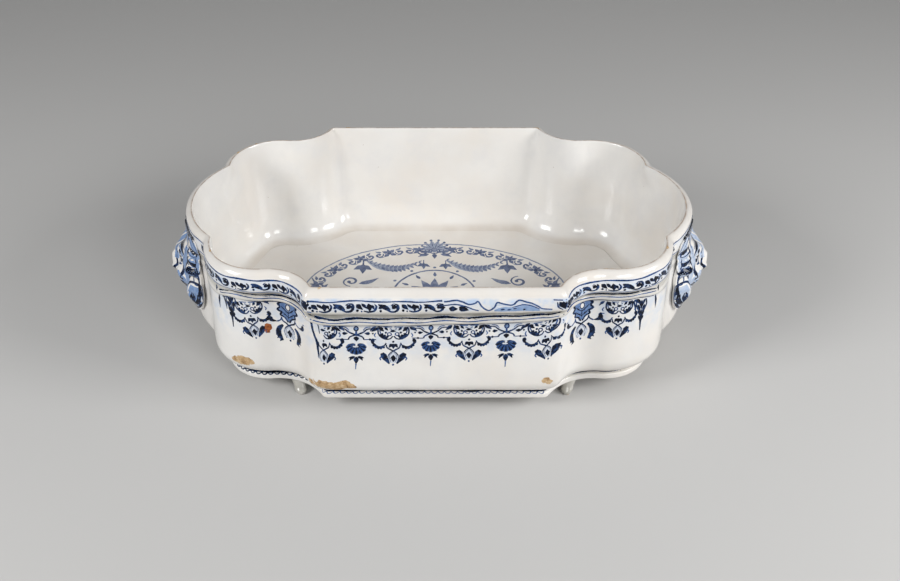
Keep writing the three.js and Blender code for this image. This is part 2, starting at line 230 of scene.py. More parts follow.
def quarter_plan(offset, corner_trim, cusp_trim):
    """A quarter of the plan, at an offset outside the arris, from the long side's middle to the end's."""
    straight, corner, cove, lobe, cusp_steps, end = PLAN_STEPS
    side_y = HALF_WIDTH + offset
    cove_radius = COVE_RADIUS - offset
    rise = COVE_CENTRE[1] - side_y
    corner_x = COVE_CENTRE[0] - math.sqrt(cove_radius**2 - rise**2)
    outward = max(offset, 0)
    cusp = cusp_point(LOBE_RADIUS + outward, END_RADIUS + outward)

    side_end = np.array([corner_x - corner_trim, side_y])
    cove_from = math.pi + math.atan2(rise, COVE_CENTRE[0] - corner_x) + corner_trim / cove_radius
    cove_angles = np.linspace(cove_from, 1.5 * math.pi + LEAN, cove + 1)
    lobe_to = math.atan2(cusp[1] - LOBE_CENTRE[1], cusp[0] - LOBE_CENTRE[0]) + cusp_trim / LOBE_RADIUS
    lobe_angles = np.linspace(0.5 * math.pi + LEAN, lobe_to, lobe + 1)
    end_from = math.atan2(cusp[1], cusp[0] - END_CENTRE[0]) - cusp_trim / END_RADIUS

    side = np.linspace([0, side_y], side_end, straight + 1)
    hollow = on_circle(COVE_CENTRE, cove_radius, cove_angles)
    lobe_arc = on_circle(LOBE_CENTRE, LOBE_RADIUS + offset, lobe_angles)
    end_arc = on_circle(END_CENTRE, END_RADIUS + offset, np.linspace(end_from, 0, end + 1))
    corner_curve = crease(corner, side_end, np.array([1.0, 0.0]), hollow[0], heading(cove_from, 1))
    cusp_curve = crease(cusp_steps, lobe_arc[-1], heading(lobe_to, -1), end_arc[0], heading(end_from, -1))
    return joined(side, corner_curve, hollow, lobe_arc, cusp_curve, end_arc)


def whole_plan(offset, corner_trim, cusp_trim):
    """The whole plan, anticlockwise from the middle of the right-hand end."""
    forth = quarter_plan(offset, corner_trim, cusp_trim)
    back = forth[::-1]
    quarters = [(back, 1, 1), (forth, -1, 1), (back, -1, -1), (forth, 1, -1)]
    return np.vstack([points[:-1] * (sign_x, sign_y) for points, sign_x, sign_y in quarters])


def outer_plan(offset):
    return whole_plan(offset, OUTER_CREASE, OUTER_CREASE)


def all_round(quarter):
    """Values along a quarter of the plan, repeated for the whole plan in the order of its points."""
    half = np.concatenate([quarter[:0:-1], quarter[:-1]])
    return np.concatenate([half, half])


def moulding_shares():
    """How much of the rim moulding there is at each point of the whole plan."""
    straight, corner, cove, lobe, _, _ = PLAN_STEPS
    steps = np.arange(sum(PLAN_STEPS) + 1) - (straight + corner + cove)
    return all_round(lerp(1, MOULDING_TRACE, smoothstep(steps / lobe, FADE_START, FADE_END)))


def crease_columns():
    """How near each point of the whole plan is to a crease, from 0 to 1."""
    straight, corner, cove, lobe, cusp, _ = PLAN_STEPS
    steps = np.arange(sum(PLAN_STEPS) + 1)
    creases = (straight + corner / 2, straight + corner + cove + lobe + cusp / 2)
    return all_round(sum(bump(steps, at, CREASE_REACH, 4) for at in creases))


def softened(rings, down):
    """The wall's outside with its creases rubbed soft below the rim, and firmer again at the foot."""
    soft = rings
    for _ in range(CREASE_RUBS):
        soft = (np.roll(soft, 1, axis=1) + 2 * soft + np.roll(soft, -1, axis=1)) / 4
    below = smoothstep(down, *CREASE_SOFTENS) * (1 - 0.6 * smoothstep(down, *CREASE_FIRMS))
    return lerp(rings, soft, np.outer(below, crease_columns())[..., None])


def way_round(plan):
    """Distances round a closed plan, back to its first point, and the one of the middle of the front."""
    along = distances(np.vstack([plan, plan[:1]]))
    return along, along[3 * len(plan) // 4]


def moulding_rise(around, down):
    """How far each point of the wall's outside is lifted by the wandering of the moulding."""
    along, front = way_round(around)
    half_round = along[-1] / 2
    place = (along[:-1] - front + half_round / 2) % half_round - half_round / 2
    return np.outer(plateau(down, *RISE_BAND), np.interp(place, RISE_AT, RISE))


def inner_plan(offset, height):
    fade = smoothstep(ARRIS_HEIGHT - height, 0, CREASE_FADE)
    corner_trim = lerp(ARRIS_CREASE, INNER_CORNER_CREASE, fade)
    return whole_plan(offset, corner_trim, lerp(ARRIS_CREASE, INNER_CUSP_CREASE, fade))


def wall_outside():
    """The wall's section down the outside: how far outside the arris, and the height."""
    top = ARRIS_HEIGHT
    lip_end = top - LIP_HEIGHT
    bead_middle = top - BEAD_DROP
    bead_top = bead_middle + BEAD_RADIUS
    bead_x = BEAD_REACH - BEAD_RADIUS
    neck = bead_middle - 1.5 * BEAD_RADIUS
    belly = RING_TOP + BELLY_HEIGHT
    shoulder = (LIP_REACH, top - 0.75 * LIP_HEIGHT)
    under_lip = (0.75 * LIP_REACH, lip_end - 0.5)
    bead_arc = np.linspace(math.pi / 2, -math.pi / 2, 9)
    return joined(
        bezier(18, (0, top), (0.45 * LIP_REACH, top), (LIP_REACH, top - 0.2 * LIP_HEIGHT), shoulder),
        bezier(5, shoulder, (LIP_REACH, lip_end), under_lip),
        bezier(6, under_lip, *[(GROOVE_REACH, z) for z in (lip_end - 1, lip_end - 3, bead_top)]),
        bezier(1, (GROOVE_REACH, bead_top), (bead_x, bead_top)),
        on_circle((bead_x, bead_middle), BEAD_RADIUS, bead_arc),
        bezier(2, (bead_x, bead_middle - BEAD_RADIUS), (NECK_REACH, neck)),
        bezier(22, (NECK_REACH, neck), (NECK_REACH, lerp(neck, belly, 0.3)),
               (BELLY_REACH, lerp(neck, belly, 0.6)), (BELLY_REACH, belly)),
        bezier(18, (BELLY_REACH, belly), (BELLY_REACH, lerp(belly, RING_TOP, 0.5)),
               (lerp(BELLY_REACH, -TOE_INSET, 0.5), lerp(belly, RING_TOP, 0.72)), (-TOE_INSET, RING_TOP)),
    )


def wall_inside():
    """The section up the inside, from beside the floor slab to the arris."""
    face = NECK_REACH - WALL_THICKNESS
    toe = JOINT_GAP - FLOOR_INSET
    cavetto_top = FLOOR_TOP + CAVETTO_HEIGHT
    under_arris = (-1, ARRIS_HEIGHT - 2)
    return joined(
        bezier(1, (toe, RING_TOP), (toe, FLOOR_TOP - 0.2)),
        bezier(14, (toe, FLOOR_TOP - 0.2), (lerp(toe, face, 0.55), FLOOR_TOP),
               (face - 1, lerp(FLOOR_TOP, cavetto_top, 0.45)), (face, cavetto_top)),
        bezier(22, (face, cavetto_top), (face + 1, lerp(cavetto_top, ARRIS_HEIGHT, 0.4)),
               (0.75 * face, ARRIS_HEIGHT - LIP_HEIGHT), under_arris),
        bezier(4, under_arris, (-0.6, ARRIS_HEIGHT - 0.3), (-0.2, ARRIS_HEIGHT - 0.03)),
    )


def plain_reach(section):
    """How far out the wall stands on the end lobes at each point of its moulded section."""
    below_edge = np.clip((ARRIS_HEIGHT - section[:, 1]) / EDGE_ROUND, 0, 1)
    upright = BELLY_REACH * np.sqrt(1 - (1 - below_edge) ** 2)
    return np.where(section[:, 1] <= RING_TOP + BELLY_HEIGHT, section[:, 0], upright)


OUTSIDE = wall_outside()
INSIDE = wall_inside()
PLAIN = plain_reach(OUTSIDE)


def at_height(points, z):
    return np.column_stack([points, np.full(len(points), float(z))])


class Skin:
    """A grid of points, rows going down and columns going round, on which flat painting is laid.

    A place on it is (x, y, lift): x runs anticlockwise from the middle of the front, y runs up from the first
    row, so that it is negative all the way down, and lift stands off the skin.
    """

    def __init__(self, rows, around, down):
        self.rows = np.array(rows)
        self.down = down
        self.along, self.front = way_round(around)
        self.length = self.along[-1]
        beside = np.roll(self.rows, -1, axis=1) - np.roll(self.rows, 1, axis=1)
        below = np.gradient(self.rows, axis=0)
        normals = np.cross(below, beside)
        self.normals = normals / np.linalg.norm(normals, axis=2, keepdims=True)

    def lay(self, places):
        """Points in space for rows of (x, y, lift)."""
        x, y, lift = places.T
        columns = self.rows.shape[1]
        column = np.interp((x + self.front) % self.length, self.along, np.arange(columns + 1))
        row = np.clip(np.interp(-y, self.down, np.arange(len(self.down))), 0, len(self.down) - 1.001)
        left, above = np.floor(column).astype(int), np.floor(row).astype(int)
        across, under = (column - left)[:, None], (row - above)[:, None]
        left %= columns
        right = (left + 1) % columns

        def blend(grid):
            upper = lerp(grid[above, left], grid[above, right], across)
            lower = lerp(grid[above + 1, left], grid[above + 1, right], across)
            return lerp(upper, lower, under)

        return blend(self.rows) + blend(self.normals) * lift[:, None]


def uneven(points, size, depth, seed=0.0):
    """How far a hand-made skin stands off its true form at each point, in soft swells about `size` across."""
    shift = Vector((seed, 2 * seed, 3 * seed))
    return np.array([depth * noise.noise(Vector(p) / size + shift) for p in points])


def mesh_object(name, points, faces, **attributes):
    """An object at the origin from points in millimetres, with float attributes on its points."""
    mesh = bpy.data.meshes.new(name)
    mesh.from_pydata((np.asarray(points) * MM).tolist(), [], [list(map(int, f)) for f in faces])
    for key, values in attributes.items():
        mesh.attributes.new(key, "FLOAT", "POINT").data.foreach_set("value", np.asarray(values, np.float32))
    mesh.polygons.foreach_set("use_smooth", np.ones(len(mesh.polygons), bool))
    mesh.set_sharp_from_angle(angle=SHARP_EDGE)
    obj = bpy.data.objects.new(name, mesh)
    bpy.context.scene.collection.objects.link(obj)
    return obj


def band_faces(around, first, second):
    """Quads between two rings of points, given the number of each one's first point."""
    i = np.arange(around)
    beside = (i + 1) % around
    return np.column_stack([first + i, second + i, second + beside, first + beside])


def fan_faces(around, first, middle):
    """Triangles from a ring of points, given the number of its first one, to the point in its middle."""
    i = np.arange(around)
    return np.column_stack([first + i, first + (i + 1) % around, np.full(around, middle)])


def looped_faces(levels, around):
    """Quads between a number of rings, the last of which closes on the first."""
    return np.vstack([band_faces(around, k * around, (k + 1) % levels * around) for k in range(levels)])


def capped_faces(levels, around):
    """Quads between a number of rings, and fans that close both ends over the two points after the rings."""
    bands = [band_faces(around, k * around, (k + 1) * around) for k in range(levels - 1)]
    middle = levels * around
    last_fan = fan_faces(around, middle - around, middle + 1)[:, ::-1]
    return [*np.vstack(bands), *fan_faces(around, 0, middle), *last_fan]


def read_values(items, name, kind=float):
    """One value of each of a mesh's items, as an array."""
    values = np.empty(len(items), kind)
    items.foreach_get(name, values)
    return values


def read_places(mesh):
    """The places of a mesh's points, one to a row."""
    places = np.empty(len(mesh.vertices) * 3)
    mesh.vertices.foreach_get("co", places)
    return places.reshape(-1, 3)


def drift_ends(obj):
    """Lets a piece follow the basin's uneven length: both ends stand a little to the right of true."""
    places = read_places(obj.data)
    places[:, 0] += END_DRIFT * MM * (places[:, 0] / (HALF_LENGTH * MM)) ** 2
    obj.data.vertices.foreach_set("co", places.ravel())


def dress(obj, node, material):
    """The piece takes its material and slot, rides on the one body and stands for its CAD node, if any."""
    drift_ends(obj)
    obj.data.materials.append(material)
    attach(obj, "root")
    if node:
        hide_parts(node)


# Colours and materials.


def colour(hex_value):
    """Linear RGBA from an sRGB hex value."""
    channels = [((hex_value >> shift) & 255) / 255 for shift in (16, 8, 0)]
    return [c / 12.92 if c <= 0.04045 else ((c + 0.055) / 1.055) ** 2.4 for c in channels] + [1]


def add_node(tree, kind, inputs=None, stops=(), **settings):
    """Adds a node, sets its properties and colour stops, and gives each input a value or a link."""
    made = tree.nodes.new(kind)
    for key, value in settings.items():
        setattr(made, key, value)
    for key, value in (inputs or {}).items():
        socket = made.inputs[key]
        if isinstance(value, bpy.types.NodeSocket):
            tree.links.new(value, socket)
        else:
            socket.default_value = value
    for _ in stops[2:]:
        made.color_ramp.elements.new(0.5)
    for k, (position, hex_value) in enumerate(stops):
        made.color_ramp.elements[k].position = position
        made.color_ramp.elements[k].color = colour(hex_value)
    return made


GLAZE_WHITE = 0xEDEBE7
GLAZE_WARM = 0xE9E4DD
GLAZE_COOL = 0xE3E2E1
PINHOLE = 0x8A6F58
CLAY = 0xC4A277
CLAY_DARK = 0x8A6A48
CLAY_PALE = 0xDCC7A4
# A warm film: on the lip a real creamy tone, and over the floor and in its corner with the wall partly
# painted shade.
FILM_AND_SHADE = 0xCFC5B9
# A grey-olive stain: partly grime and partly painted shade, in the groove under the lip and on the feet.
GRIME_AND_SHADE = 0x8F8C80
EDGE_BROWN = 0x9C8470
COBALT_WASH = 0xB8CCE6

# Shades from the thinnest wash to the thickest pooled line or, for the clay, from its hollows to its grains.
COBALT_SHADES = (COBALT_WASH, 0x7590BA, 0x2F4F84, 0x081730, 0x040A18)
HAZY_SHADES = (0xC0C4CC, 0xA0A8B8, 0x667290, 0x424E6C, 0x2A344C)
CLAY_SHADES = (CLAY_DARK, CLAY, CLAY_PALE)
RUST_SHADES = (0x6E3516, 0xA0592A, 0xC0763A)

# What lies on the white glaze: the attribute that says where, its colour, and the blotches that break it up,
# by their size, detail, range of the noise and, where it isn't 0 to 1, their strength. The grime and the film
# are partly painted shade.
GLAZE_LAYERS = (
    ("wash", COBALT_WASH, (9, 3, 0.3, 0.7)),
    ("film", FILM_AND_SHADE, (38, 4, 0.3, 0.65, 0.5, 1.0)),
    ("grime", GRIME_AND_SHADE, (16, 4, 0.3, 0.7, 0.5, 0.9)),
    ("edge", EDGE_BROWN, (7, 4, 0.35, 0.6, 0.35, 0.9)),
)

# Fired glaze is glassy. Its roughness, from the glossiest to the dullest places, and that of bare clay.
GLAZE_IOR = 1.52
WHITE_GLOSS = (0.1, 0.2)
COBALT_GLOSS = (0.128, 0.256)
WORN_ROUGHNESS = 0.75
CLAY_ROUGHNESS = 0.82
PINHOLE_SPACING = 14
SMOOTH = {"interpolation_type": "SMOOTHSTEP"}


def of_size(place, size, detail, roughness=0.5):
    """What a noise is given to have blotches about `size` millimetres across."""
    return {"Vector": place, "Scale": 1 / (size * MM), "Detail": detail, "Roughness": roughness}


def blotches(tree, place, size, detail, low, high, least=0.0, most=1.0, roughness=0.5):
    """Soft blotches: the noise's range low..high becomes the range least..most."""
    mottle = add_node(tree, "ShaderNodeTexNoise", of_size(place, size, detail, roughness)).outputs["Fac"]
    inputs = {"Value": mottle, "From Min": low, "From Max": high, "To Min": least, "To Max": most}
    return add_node(tree, "ShaderNodeMapRange", inputs, **SMOOTH).outputs["Result"]


def begin_material(name):
    """An empty material, its tree, and the place of each of its points on the piece."""
    material = bpy.data.materials.new(name)
    material.use_nodes = True
    tree = material.node_tree
    tree.nodes.clear()
    return material, tree, add_node(tree, "ShaderNodeTexCoord").outputs["Object"]


def end_material(tree, inputs):
    """The material's surface, from the inputs of its shader."""
    shader = add_node(tree, "ShaderNodeBsdfPrincipled", inputs)
    add_node(tree, "ShaderNodeOutputMaterial", {"Surface": shader.outputs[0]})


def glaze_ground(tree, place):
    """The fired white: warm and cool clouds where the tin glaze lies thick or thin, and a few pinholes."""
    warm = {"Factor": blotches(tree, place, 70, 3, 0.35, 0.7), 6: colour(GLAZE_WHITE), 7: colour(GLAZE_WARM)}
    ground = add_node(tree, "ShaderNodeMix", warm, data_type="RGBA").outputs[2]
    drift = blotches(tree, place, 24, 4, 0.4, 0.75, most=0.5, roughness=0.6)
    cool = {"Factor": drift, 6: ground, 7: colour(GLAZE_COOL)}
    ground = add_node(tree, "ShaderNodeMix", cool, data_type="RGBA").outputs[2]
    cells = add_node(tree, "ShaderNodeTexVoronoi", {"Vector": place, "Scale": 1 / (PINHOLE_SPACING * MM)})
    near = {"Value": cells.outputs["Distance"], "From Min": 0.03, "From Max": 0.014}
    pit = add_node(tree, "ShaderNodeMapRange", near, **SMOOTH).outputs["Result"]
    draw = add_node(tree, "ShaderNodeSeparateColor", {0: cells.outputs["Color"]}).outputs[0]
    some = {"Value": draw, "From Min": 0.62, "From Max": 0.7}
    picked = add_node(tree, "ShaderNodeMapRange", some, **SMOOTH).outputs["Result"]
    hole = add_node(tree, "ShaderNodeMath", {0: pit, 1: picked}, operation="MULTIPLY").outputs[0]
    pinholes = {"Factor": hole, 6: ground, 7: colour(PINHOLE)}
    return add_node(tree, "ShaderNodeMix", pinholes, data_type="RGBA").outputs[2]


def glaze_relief(tree, place):
    """Soft waves a hand's pressure leaves under the glaze and its fine orange-peel, as a shader's normal."""
    broad = add_node(tree, "ShaderNodeTexNoise", of_size(place, 30, 1)).outputs["Fac"]
    waves = {"Height": broad, "Distance": 1.1 * MM, "Strength": 1.0}
    wavy = add_node(tree, "ShaderNodeBump", waves).outputs[0]
    fine = add_node(tree, "ShaderNodeTexNoise", of_size(place, 3.2, 2)).outputs["Fac"]
    peel = {"Height": fine, "Distance": 0.05 * MM, "Strength": 1.0, "Normal": wavy}
    return add_node(tree, "ShaderNodeBump", peel).outputs[0]


def uneven_gloss(tree, place, least, most):
    """The roughness of fired glaze, which changes a little from place to place."""
    return blotches(tree, place, 18, 3, 0.3, 0.75, least, most)


def stained(tree, base, place, name, hex_value, pattern):
    """The base with a colour over it where the mesh's attribute says, broken up by blotches."""
    amount = add_node(tree, "ShaderNodeAttribute", attribute_name=name).outputs["Fac"]
    broken = {0: amount, 1: blotches(tree, place, *pattern)}
    share = add_node(tree, "ShaderNodeMath", broken, operation="MULTIPLY").outputs[0]
    inputs = {"Factor": share, 6: base, 7: colour(hex_value)}
    return add_node(tree, "ShaderNodeMix", inputs, data_type="RGBA").outputs[2]


def tin_glaze_material():
    """Opaque white tin glaze over buff earthenware, dipped and fired: thin along edges, where clay shows."""
    material, tree, place = begin_material("tin_glaze_on_buff_earthenware")
    ground = glaze_ground(tree, place)
    for name, hex_value, pattern in GLAZE_LAYERS:
        ground = stained(tree, ground, place, name, hex_value, pattern)

    wear = add_node(tree, "ShaderNodeAttribute", attribute_name="wear").outputs["Fac"]
    crumble = add_node(tree, "ShaderNodeTexNoise", of_size(place, 5, 5, 0.65)).outputs["Fac"]
    worn = add_node(tree, "ShaderNodeMath", {0: wear, 1: crumble}, operation="ADD").outputs[0]
    limits = {"Value": worn, "From Min": 1.0, "From Max": 1.12}
    bare = add_node(tree, "ShaderNodeMapRange", limits, **SMOOTH).outputs["Result"]
    grain = add_node(tree, "ShaderNodeTexNoise", of_size(place, 2, 4)).outputs["Fac"]
    stops = ((0.3, CLAY_DARK), (0.6, CLAY))
    clay = add_node(tree, "ShaderNodeValToRGB", {"Fac": grain}, stops).outputs["Color"]
    base = add_node(tree, "ShaderNodeMix", {"Factor": bare, 6: ground, 7: clay}, data_type="RGBA").outputs[2]
    gloss = uneven_gloss(tree, place, *WHITE_GLOSS)
    rough = add_node(tree, "ShaderNodeMix", {"Factor": bare, 2: gloss, 3: WORN_ROUGHNESS}).outputs[0]
    relief = glaze_relief(tree, place)
    end_material(tree, {"Base Color": base, "Roughness": rough, "IOR": GLAZE_IOR, "Normal": relief})
    return material


def cobalt_material(name, shades):
    """Cobalt painted on raw tin glaze and fired in: it bleeds at a stroke's edge and pools to near black."""
    material, tree, place = begin_material(name)
    ground = glaze_ground(tree, place)
    ink = add_node(tree, "ShaderNodeAttribute", attribute_name="ink").outputs["Fac"]
    load = add_node(tree, "ShaderNodeAttribute", attribute_name="load").outputs["Fac"]
    bleed = blotches(tree, place, 1.4, 2, 0.2, 0.8, -0.1, 0.1)
    fringe = add_node(tree, "ShaderNodeMath", {0: ink, 1: bleed}, operation="ADD").outputs[0]
    edge = {"Value": fringe, "From Min": 0.02, "From Max": 0.34}
    body = add_node(tree, "ShaderNodeMapRange", edge, **SMOOTH).outputs["Result"]
    even = add_node(tree, "ShaderNodeMath", {0: load, 1: body}, operation="MULTIPLY").outputs[0]
    streaks = blotches(tree, place, 4, 3, 0.3, 0.75, 0.78, 1.1)
    density = add_node(tree, "ShaderNodeMath", {0: even, 1: streaks}, operation="MULTIPLY").outputs[0]
    stops = list(zip((0.0, 0.3, 0.6, 0.85, 1.0), shades))
    blue = add_node(tree, "ShaderNodeValToRGB", {"Fac": density}, stops).outputs["Color"]
    thin = {"Value": density, "From Min": 0.0, "From Max": 0.22}
    cover = add_node(tree, "ShaderNodeMapRange", thin, **SMOOTH).outputs["Result"]
    base = add_node(tree, "ShaderNodeMix", {"Factor": cover, 6: ground, 7: blue}, data_type="RGBA").outputs[2]
    gloss = uneven_gloss(tree, place, *COBALT_GLOSS)
    relief = glaze_relief(tree, place)
    end_material(tree, {"Base Color": base, "Roughness": gloss, "IOR": GLAZE_IOR, "Specular IOR Level": 0.22,
                        "Normal": relief})
    return material


def bare_clay_material(name, shades):
    """Earthenware laid bare by a chip: matt, grainy, stained darker in its hollows."""
    material, tree, place = begin_material(name)
    grain = add_node(tree, "ShaderNodeTexNoise", of_size(place, 0.9, 4, 0.7)).outputs["Fac"]
    patch = add_node(tree, "ShaderNodeTexNoise", of_size(place, 5, 3)).outputs["Fac"]
    fine = add_node(tree, "ShaderNodeMath", {0: grain, 1: 0.45}, operation="MULTIPLY").outputs[0]
    broad = add_node(tree, "ShaderNodeMath", {0: patch, 1: 0.55}, operation="MULTIPLY").outputs[0]
    tone = add_node(tree, "ShaderNodeMath", {0: fine, 1: broad}, operation="ADD").outputs[0]
    stops = list(zip((0.38, 0.5, 0.64), shades))
    base = add_node(tree, "ShaderNodeValToRGB", {"Fac": tone}, stops).outputs["Color"]
    grainy = {"Height": grain, "Distance": 0.25 * MM, "Strength": 1.0}
    relief = add_node(tree, "ShaderNodeBump", grainy).outputs[0]
    end_material(tree, {"Base Color": base, "Roughness": CLAY_ROUGHNESS, "Normal": relief})
    return material


TIN_GLAZE = tin_glaze_material()
COBALT = cobalt_material("cobalt_blue_in_glaze", COBALT_SHADES)
HAZY_COBALT = cobalt_material("cobalt_under_worn_glaze", HAZY_SHADES)
BARE_CLAY = bare_clay_material("bare_buff_earthenware", CLAY_SHADES)
RUSTY_CLAY = bare_clay_material("rust_stained_earthenware", RUST_SHADES)


# The clay body.


def wall_marks(down):
    """How worn, washed, filmed over, grimy and brown the wall is, from 0 to 1 at each point of its mesh; the
    grime in the groove and the film in the inside corner over the floor are partly painted shade.
    """
    over_arris = 0.3
    height = np.concatenate([OUTSIDE[:, 1], INSIDE[:, 1]])
    depth = np.concatenate([down, distances(INSIDE)[::-1] + over_arris])
    outside = np.arange(len(height)) < len(OUTSIDE)
    moulded = moulding_shares()
    all_along = np.ones(len(moulded))
    wear = np.maximum(0.5 * bump(depth, 0, 0.9), 0.3 * bump(height, RING_TOP, 4))
    wash = plateau(depth, *LIP_WASH) + 0.5 * plateau(depth, *BAND_WASH)
    film_outside = 0.28 * (1 - smoothstep(depth, 8, 11))
    # Inside, the film darkens the foot of the wall where it meets the floor. It is partly a real film and
    # partly painted shade in the corner.
    film_inside = 0.7 * (1 - smoothstep(height, FLOOR_TOP, FLOOR_TOP + 5))
    # The grime is partly dirt and partly painted shade. It darkens the groove under the lip and the angle
    # under the bead, where the lip shades them.
    grime = bump(depth, GROOVE_DOWN, 7, 4) + 0.42 * bump(depth, UNDER_BEAD_DOWN, 5.4, 4)
    marks = {
        "wear": np.outer(wear, all_along),
        "wash": np.outer(wash * outside, lerp(0.3, 1, smoothstep(moulded, MOULDING_TRACE, 0.3))),
        "film": np.outer(np.where(outside, film_outside, film_inside), all_along),
        "grime": np.outer(grime * outside, np.maximum(moulded, 0.62)),
        "edge": np.outer(bump(depth, 0, 0.8), all_along),
    }
    return {name: values.ravel() for name, values in marks.items()}


def side_wall():
    """The moulded wall, from the arris down the outside, across its foot and up the inside."""
    shares = moulding_shares()[:, None]
    outside = [at_height(lerp(outer_plan(plain), outer_plan(x), shares), z)
               for plain, (x, z) in zip(PLAIN, OUTSIDE)]
    inside = [at_height(inner_plan(x, z), z) for x, z in INSIDE]
    down = distances(OUTSIDE)
    around = outer_plan(BELLY_REACH)
    outside = softened(np.array(outside), down)
    outside[:, :, 2] += moulding_rise(around, down)
    rings = np.vstack([outside, inside])
    level = np.arange(len(rings))
    pressed = np.where(level < len(outside), OUTSIDE_SWELLS, 1.0)
    pressed *= smoothstep(np.minimum(level, len(rings) - level), 0, 6)
    swells = uneven(rings.reshape(-1, 3), *WALL_SWELLS).reshape(rings.shape[:2]) * pressed[:, None]
    rings = rings + Skin(rings, around, level).normals * swells[:, :, None]
    faces = looped_faces(*rings.shape[:2])
    obj = mesh_object("moulded_wall", rings.reshape(-1, 3), faces, **wall_marks(down))
    dress(obj, "side_wall", TIN_GLAZE)
    return Skin(rings[:len(outside)], around, down)


WALL = side_wall()


def floor_height(x, y):
    """The height of the floor's uneven top."""
    points = np.column_stack([x, y, np.zeros(len(x))])
    return FLOOR_TOP + uneven(points, *FLOOR_SWELLS, seed=3.0)


def floor_slab():
    """The flat floor let into the wall, a little uneven on top."""
    rim = inner_plan(-FLOOR_INSET, FLOOR_TOP)
    around = len(rim)
    shares = [1.0, 0.985, *np.arange(0.96, 0.03, -0.04)]
    rings = [at_height(rim, RING_TOP)] + [at_height(rim * share, FLOOR_TOP) for share in shares]
    points = np.vstack(rings + [[[0, 0, FLOOR_TOP]], [[0, 0, RING_TOP]]])
    points[2 * around:-1, 2] = floor_height(*points[2 * around:-1, :2].T)
    bands = [band_faces(around, (k + 1) * around, k * around) for k in range(len(rings) - 1)]
    top = fan_faces(around, (len(rings) - 1) * around, len(points) - 2)
    under = fan_faces(around, 0, len(points) - 1)[:, ::-1]
    # The floor is tinted all over with the warm film, partly a real film and partly painted shade.
    film = np.full(len(points), FLOOR_FILM_AND_SHADE)
    obj = mesh_object("flat_floor", points, [*np.vstack(bands), *top, *under], film=film)
    dress(obj, "floor_slab", TIN_GLAZE)


def foot_ring():
    """The plinth-like ring that carries wall and floor."""
    flat = -RING_INSET - RING_NOSE
    upper, lower = RING_TOP - RING_NOSE, FOOT_HEIGHT + RING_NOSE
    outside = joined(
        bezier(2, (-TOE_INSET, RING_TOP), (flat, RING_TOP)),
        bezier(4, (flat, RING_TOP), (-RING_INSET, RING_TOP), (-RING_INSET, upper)),
        bezier(2, (-RING_INSET, upper), (-RING_INSET, lower)),
        bezier(4, (-RING_INSET, lower), (-RING_INSET, FOOT_HEIGHT), (flat, FOOT_HEIGHT)),
    )
    outer = [at_height(outer_plan(x), z) for x, z in outside]
    inner = [at_height(inner_plan(-FLOOR_INSET - SLAB_SEAT, FLOOR_TOP), z) for z in (FOOT_HEIGHT, RING_TOP)]
    rings = np.array(outer + inner)
    levels, around = rings.shape[:2]
    wear = np.repeat([RING_WEAR] * len(outer) + [RING_INSIDE_WEAR] * len(inner), around)
    obj = mesh_object("plinth_ring", rings.reshape(-1, 3), looped_faces(levels, around), wear=wear)
    dress(obj, "foot_ring", TIN_GLAZE)
    return Skin(outer, outer_plan(-RING_INSET), distances(outside))


def foot(sign_x, sign_y, node):
    """A small splayed foot: broad at the ring, drawn in below it and swelling again at the toe."""
    around, levels = 40, 18
    bearing = math.radians(-90 - FOOT_BEARING)
    place = on_circle(COVE_CENTRE, COVE_RADIUS + RING_INSET + RING_NOSE + FOOT_DEPTH / 2, bearing)
    outward = (COVE_CENTRE - place) * (sign_x, sign_y)
    outward = outward / np.hypot(*outward)
    aside = np.array([-outward[1], outward[0]])
    middle = place * (sign_x, sign_y) + np.array(FOOT_ASTRAY) * (1, -sign_y) + (sign_x * FOOT_OUTWARD, 0)
    angle = 2 * math.pi * np.arange(around) / around
    rings = []
    for level in range(levels + 1):
        down = level / levels
        swell = 1 + TOE_SWELL * math.sin(math.pi * smoothstep(down, 0.55, 1))
        half_depth = lerp(FOOT_DEPTH, TOE_WIDTH, math.sin(down * math.pi / 2)) / 2 * swell
        half_breadth = lerp(FOOT_BREADTH, TOE_WIDTH, down**0.75) / 2 * swell
        drift = smoothstep(down, 0, 1)
        x = drift * TOE_STEP + half_depth * np.cos(angle)
        y = sign_x * sign_y * drift * TOE_LEAN + half_breadth * np.sin(angle)
        plan = middle + np.outer(x, outward) + np.outer(y, aside)
        rings.append(at_height(plan, FOOT_HEIGHT * (1 - down)))
    points = np.vstack(rings + [[rings[0].mean(axis=0)], [rings[-1].mean(axis=0)]])
    worn = TOE_WEAR * (1 - smoothstep(points[:, 2], 0, 2.5))
    # The feet are greyed all over, partly grime and partly painted shade, as they stand in the shadow under
    # the basin.
    grime = np.full(len(points), FOOT_GRIME_AND_SHADE)
    faces = capped_faces(len(rings), around)
    obj = mesh_object(node.replace("foot", "splayed_foot"), points, faces, wear=worn, grime=grime)
    dress(obj, node, TIN_GLAZE)


floor_slab()
RING = foot_ring()
for sign_x, side in ((-1, "left"), (1, "right")):
    for sign_y, end in ((-1, "front"), (1, "back")):
        foot(sign_x, sign_y, f"foot_{end}_{side}")


